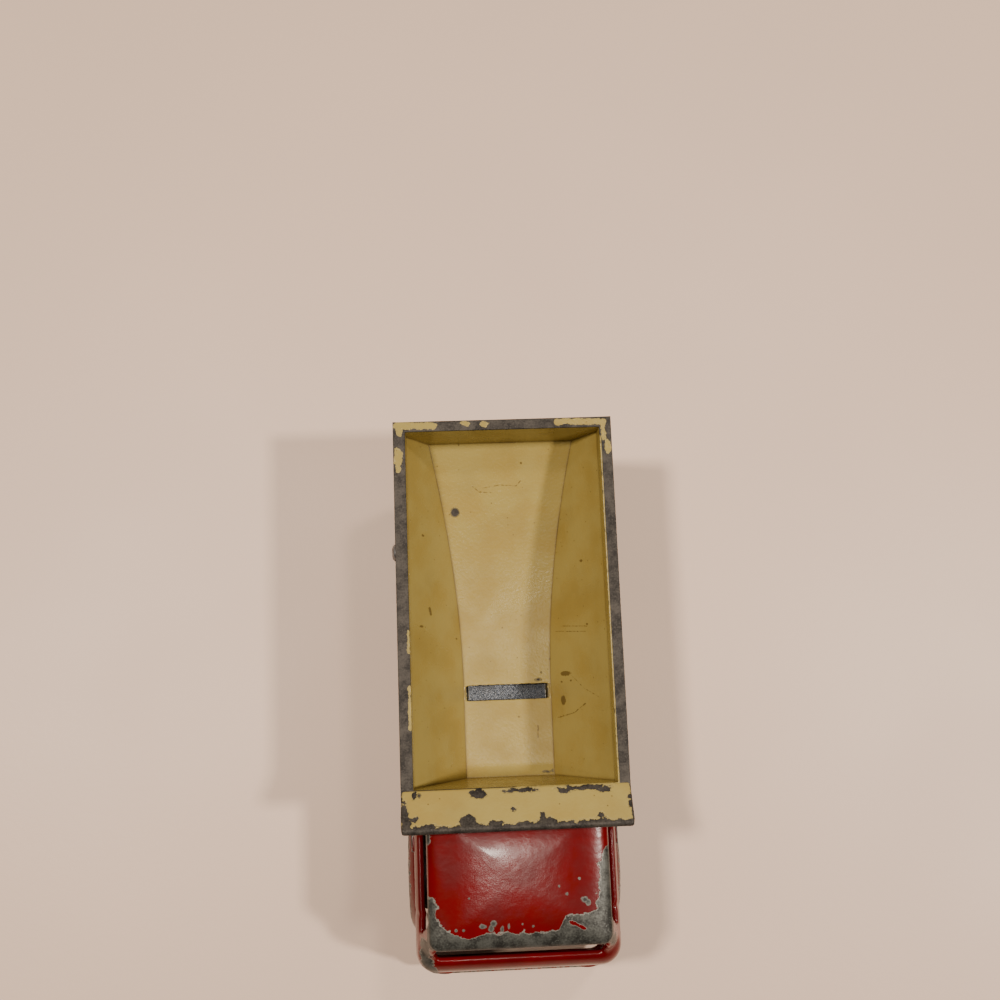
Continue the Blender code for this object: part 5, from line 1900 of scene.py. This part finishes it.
@dataclass
class Hub:
    """A moulded hub: a rim lip, a dished face, a boss and a ring of bolts.

    Attributes:
        node: The CAD node that it stands for.
        body: The wheel that it turns with.
        side: -1 on the left and 1 on the right.
        bore: The radius of the hole for the axle.
        dish: The depth of the dished face.
        bolts: How many bolts it has.
        segments: How many points each ring has.
    """

    node: str
    body: Body
    side: float
    bore: float = 0.9
    dish: float = 0.75
    bolts: int = 6
    segments: int = 96

    def build(self, finishes: Finishes) -> None:
        """Turns the hub, with its dish outwards, and sets a bolt at each turn."""
        low, high = node_box(self.node)
        middle, half = (low + high) / 2, float(high[0] - low[0]) / 2
        r = float(high[2] - low[2]) / 2
        outer = np.array(
            [
                (half, self.bore), (half, 1.3), (half - 0.14, 1.46), (half - self.dish + 0.1, 1.55),
                (half - self.dish, 1.68), (half - self.dish, 2.5), (half - self.dish + 0.12, 2.64),
                (half - 0.12, 2.86), (half, 2.98), (half, r - 0.12), (half - 0.12, r),
            ]
        )
        inner = np.array(
            [
                (-half + 0.12, r), (-half, r - 0.12), (-half, 2.95), (-half + 0.35, 2.75),
                (-half + 0.35, 1.6), (-half + 0.1, 1.5), (-half, 1.38), (-half, self.bore),
            ]
        )
        profile = np.concatenate([outer, inner]) * (self.side, 1.0) + (middle[0], 0.0)
        rings = turned(profile, middle[1:], self.segments)
        surface = Surface()
        surface.add(rings, grid_faces(len(rings), self.segments, around=True, along=True))
        seat = half - self.dish
        bolt = np.array(
            [(seat - 0.1, 0.0), (seat - 0.1, 0.24), (seat + 0.16, 0.24), (seat + 0.24, 0.16), (seat + 0.24, 0.0)]
        )
        for turn in np.arange(self.bolts) * 2.0 * np.pi / self.bolts:
            place = middle[1:] + 2.08 * np.array([np.sin(turn), np.cos(turn)])
            head = Surface()
            rows = turned(bolt * (self.side, 1.0) + (middle[0], 0.0), place, 12)
            head.add(rows, grid_faces(len(rows), 12, around=True))
            surface.join(head)
        name = f"{self.node}_moulding"
        mesh = closed_mesh(name, surface)
        finish_piece(
            name, mesh, Finishing(sharp_angle=40), finishes.plastic, self.body,
            (self.node,),
        )


@dataclass
class Wheels:
    """The four turning wheels: one tyre each in front and two each at the rear."""

    def build(self, finishes: Finishes) -> None:
        """Makes and dresses every hub and tyre."""
        for word, side in (("left", -1.0), ("right", 1.0)):
            front = Body[f"WHEEL_FRONT_{word.upper()}"]
            rear = Body[f"WHEEL_REAR_{word.upper()}"]
            Hub(f"front_hub_{word}", front, side).build(finishes)
            Tyre(f"front_tyre_{word}", front).build(finishes)
            Hub(f"rear_hub_{word}", rear, side, dish=1.5).build(finishes)
            Tyre(f"rear_tyre_{word}_outer", rear).build(finishes)
            Tyre(f"rear_tyre_{word}_inner", rear).build(finishes)


# --- Studio --------------------------------------------------------------------------
@dataclass(frozen=True)
class SoftLight:
    """A square light.

    Attributes:
        name: Its name.
        place: Where it stands, in millimetres.
        aim: What it faces, in millimetres.
        size: The length of its side, in millimetres.
        watts: Its power.
        colour: Its colour.
    """

    name: str
    place: tuple[float, float, float]
    aim: tuple[float, float, float]
    size: float
    watts: float
    colour: Colour

    def build(self) -> None:
        """Adds the light to the scene."""
        data = bpy.data.lights.new(self.name, "AREA")
        data.shape = "SQUARE"
        data.size = self.size * MM
        data.energy = self.watts
        data.color = self.colour
        light = bpy.data.objects.new(self.name, data)
        bpy.context.scene.collection.objects.link(light)
        light.location = np.array(self.place) * MM
        facing = Vector(np.array(self.aim) - np.array(self.place))
        light.rotation_euler = facing.to_track_quat("-Z", "Y").to_euler()


@dataclass(frozen=True)
class Studio:
    """The table, the lights and the camera.

    Attributes:
        camera_place: Where the camera stands, in millimetres.
        camera_turn: Its rotation, in radians.
        lens: The length of its lens, in millimetres, over a 36 mm wide image.
        world: The colour of the light from all around.
        world_strength: Its strength.
        table_radius: The radius of the table, in millimetres.
        lights: The lights.
    """

    camera_place: tuple[float, float, float] = (-5.942, 2.465, 151.162)
    camera_turn: tuple[float, float, float] = (0.166086, -0.035802, -0.037629)
    lens: float = 39.53
    world: Colour = (1.0, 0.93, 0.86)
    world_strength: float = 0.04
    table_radius: float = 900.0
    lights: tuple[SoftLight, ...] = (
        SoftLight("key", (2.0, -52.0, 400.0), (0.0, 0.0, 10.0), 13.0, 0.2, (1.0, 0.9, 0.78)),
        SoftLight("left", (-168.0, 54.0, 400.0), (0.0, 0.0, 10.0), 40.0, 1.6, (1.0, 0.88, 0.76)),
        SoftLight("right", (276.0, -34.0, 400.0), (0.0, 0.0, 10.0), 30.0, 1.85, (1.0, 0.9, 0.8)),
        SoftLight("rear", (116.0, 192.0, 400.0), (0.0, 0.0, 10.0), 40.0, 0.5, (1.0, 0.88, 0.76)),
    )

    def build_table(self, finishes: Finishes) -> None:
        """A flat disc under the truck, as rings round its middle."""
        radii = np.concatenate([[0.0], np.geomspace(40.0, self.table_radius, 24)])
        turn = np.linspace(0.0, 2.0 * np.pi, 96, endpoint=False)
        x, y = radii[:, None] * np.cos(turn), radii[:, None] * np.sin(turn)
        surface = Surface()
        surface.add(np.stack([x, y, 0 * x], axis=-1), grid_faces(len(radii), 96, around=True))
        mesh = closed_mesh("table_top", surface)
        mesh.materials.append(finishes.table)
        table = bpy.data.objects.new("table_top", mesh)
        bpy.context.scene.collection.objects.link(table)
        mesh.shade_smooth()

    def build_camera(self) -> None:
        """The camera that looks down at the truck from above its tail."""
        data = bpy.data.cameras.new("camera")
        data.lens = self.lens
        data.sensor_width = 36.0
        data.clip_start = 1.0 * MM
        data.clip_end = 10.0
        camera = bpy.data.objects.new("camera", data)
        bpy.context.scene.collection.objects.link(camera)
        camera.location = np.array(self.camera_place) * MM
        camera.rotation_euler = self.camera_turn
        bpy.context.scene.camera = camera

    def build(self, finishes: Finishes) -> None:
        """Sets up everything round the truck."""
        world = bpy.data.worlds.new("soft_world")
        world.use_nodes = True
        background = world.node_tree.nodes["Background"]
        background.inputs["Color"].default_value = (*self.world, 1.0)
        background.inputs["Strength"].default_value = self.world_strength
        bpy.context.scene.world = world
        self.build_table(finishes)
        for light in self.lights:
            light.build()
        self.build_camera()


def main() -> None:
    """Builds every piece in order, then the studio."""
    logging.basicConfig(level=logging.INFO, format="%(name)s: %(message)s")
    finishes = build_finishes()
    Cab().build(finishes)
    Hopper().build(finishes)
    Gate().build(finishes)
    Chassis().build(finishes)
    Wheels().build(finishes)
    Studio().build(finishes)


if __name__ == "__main__":
    main()
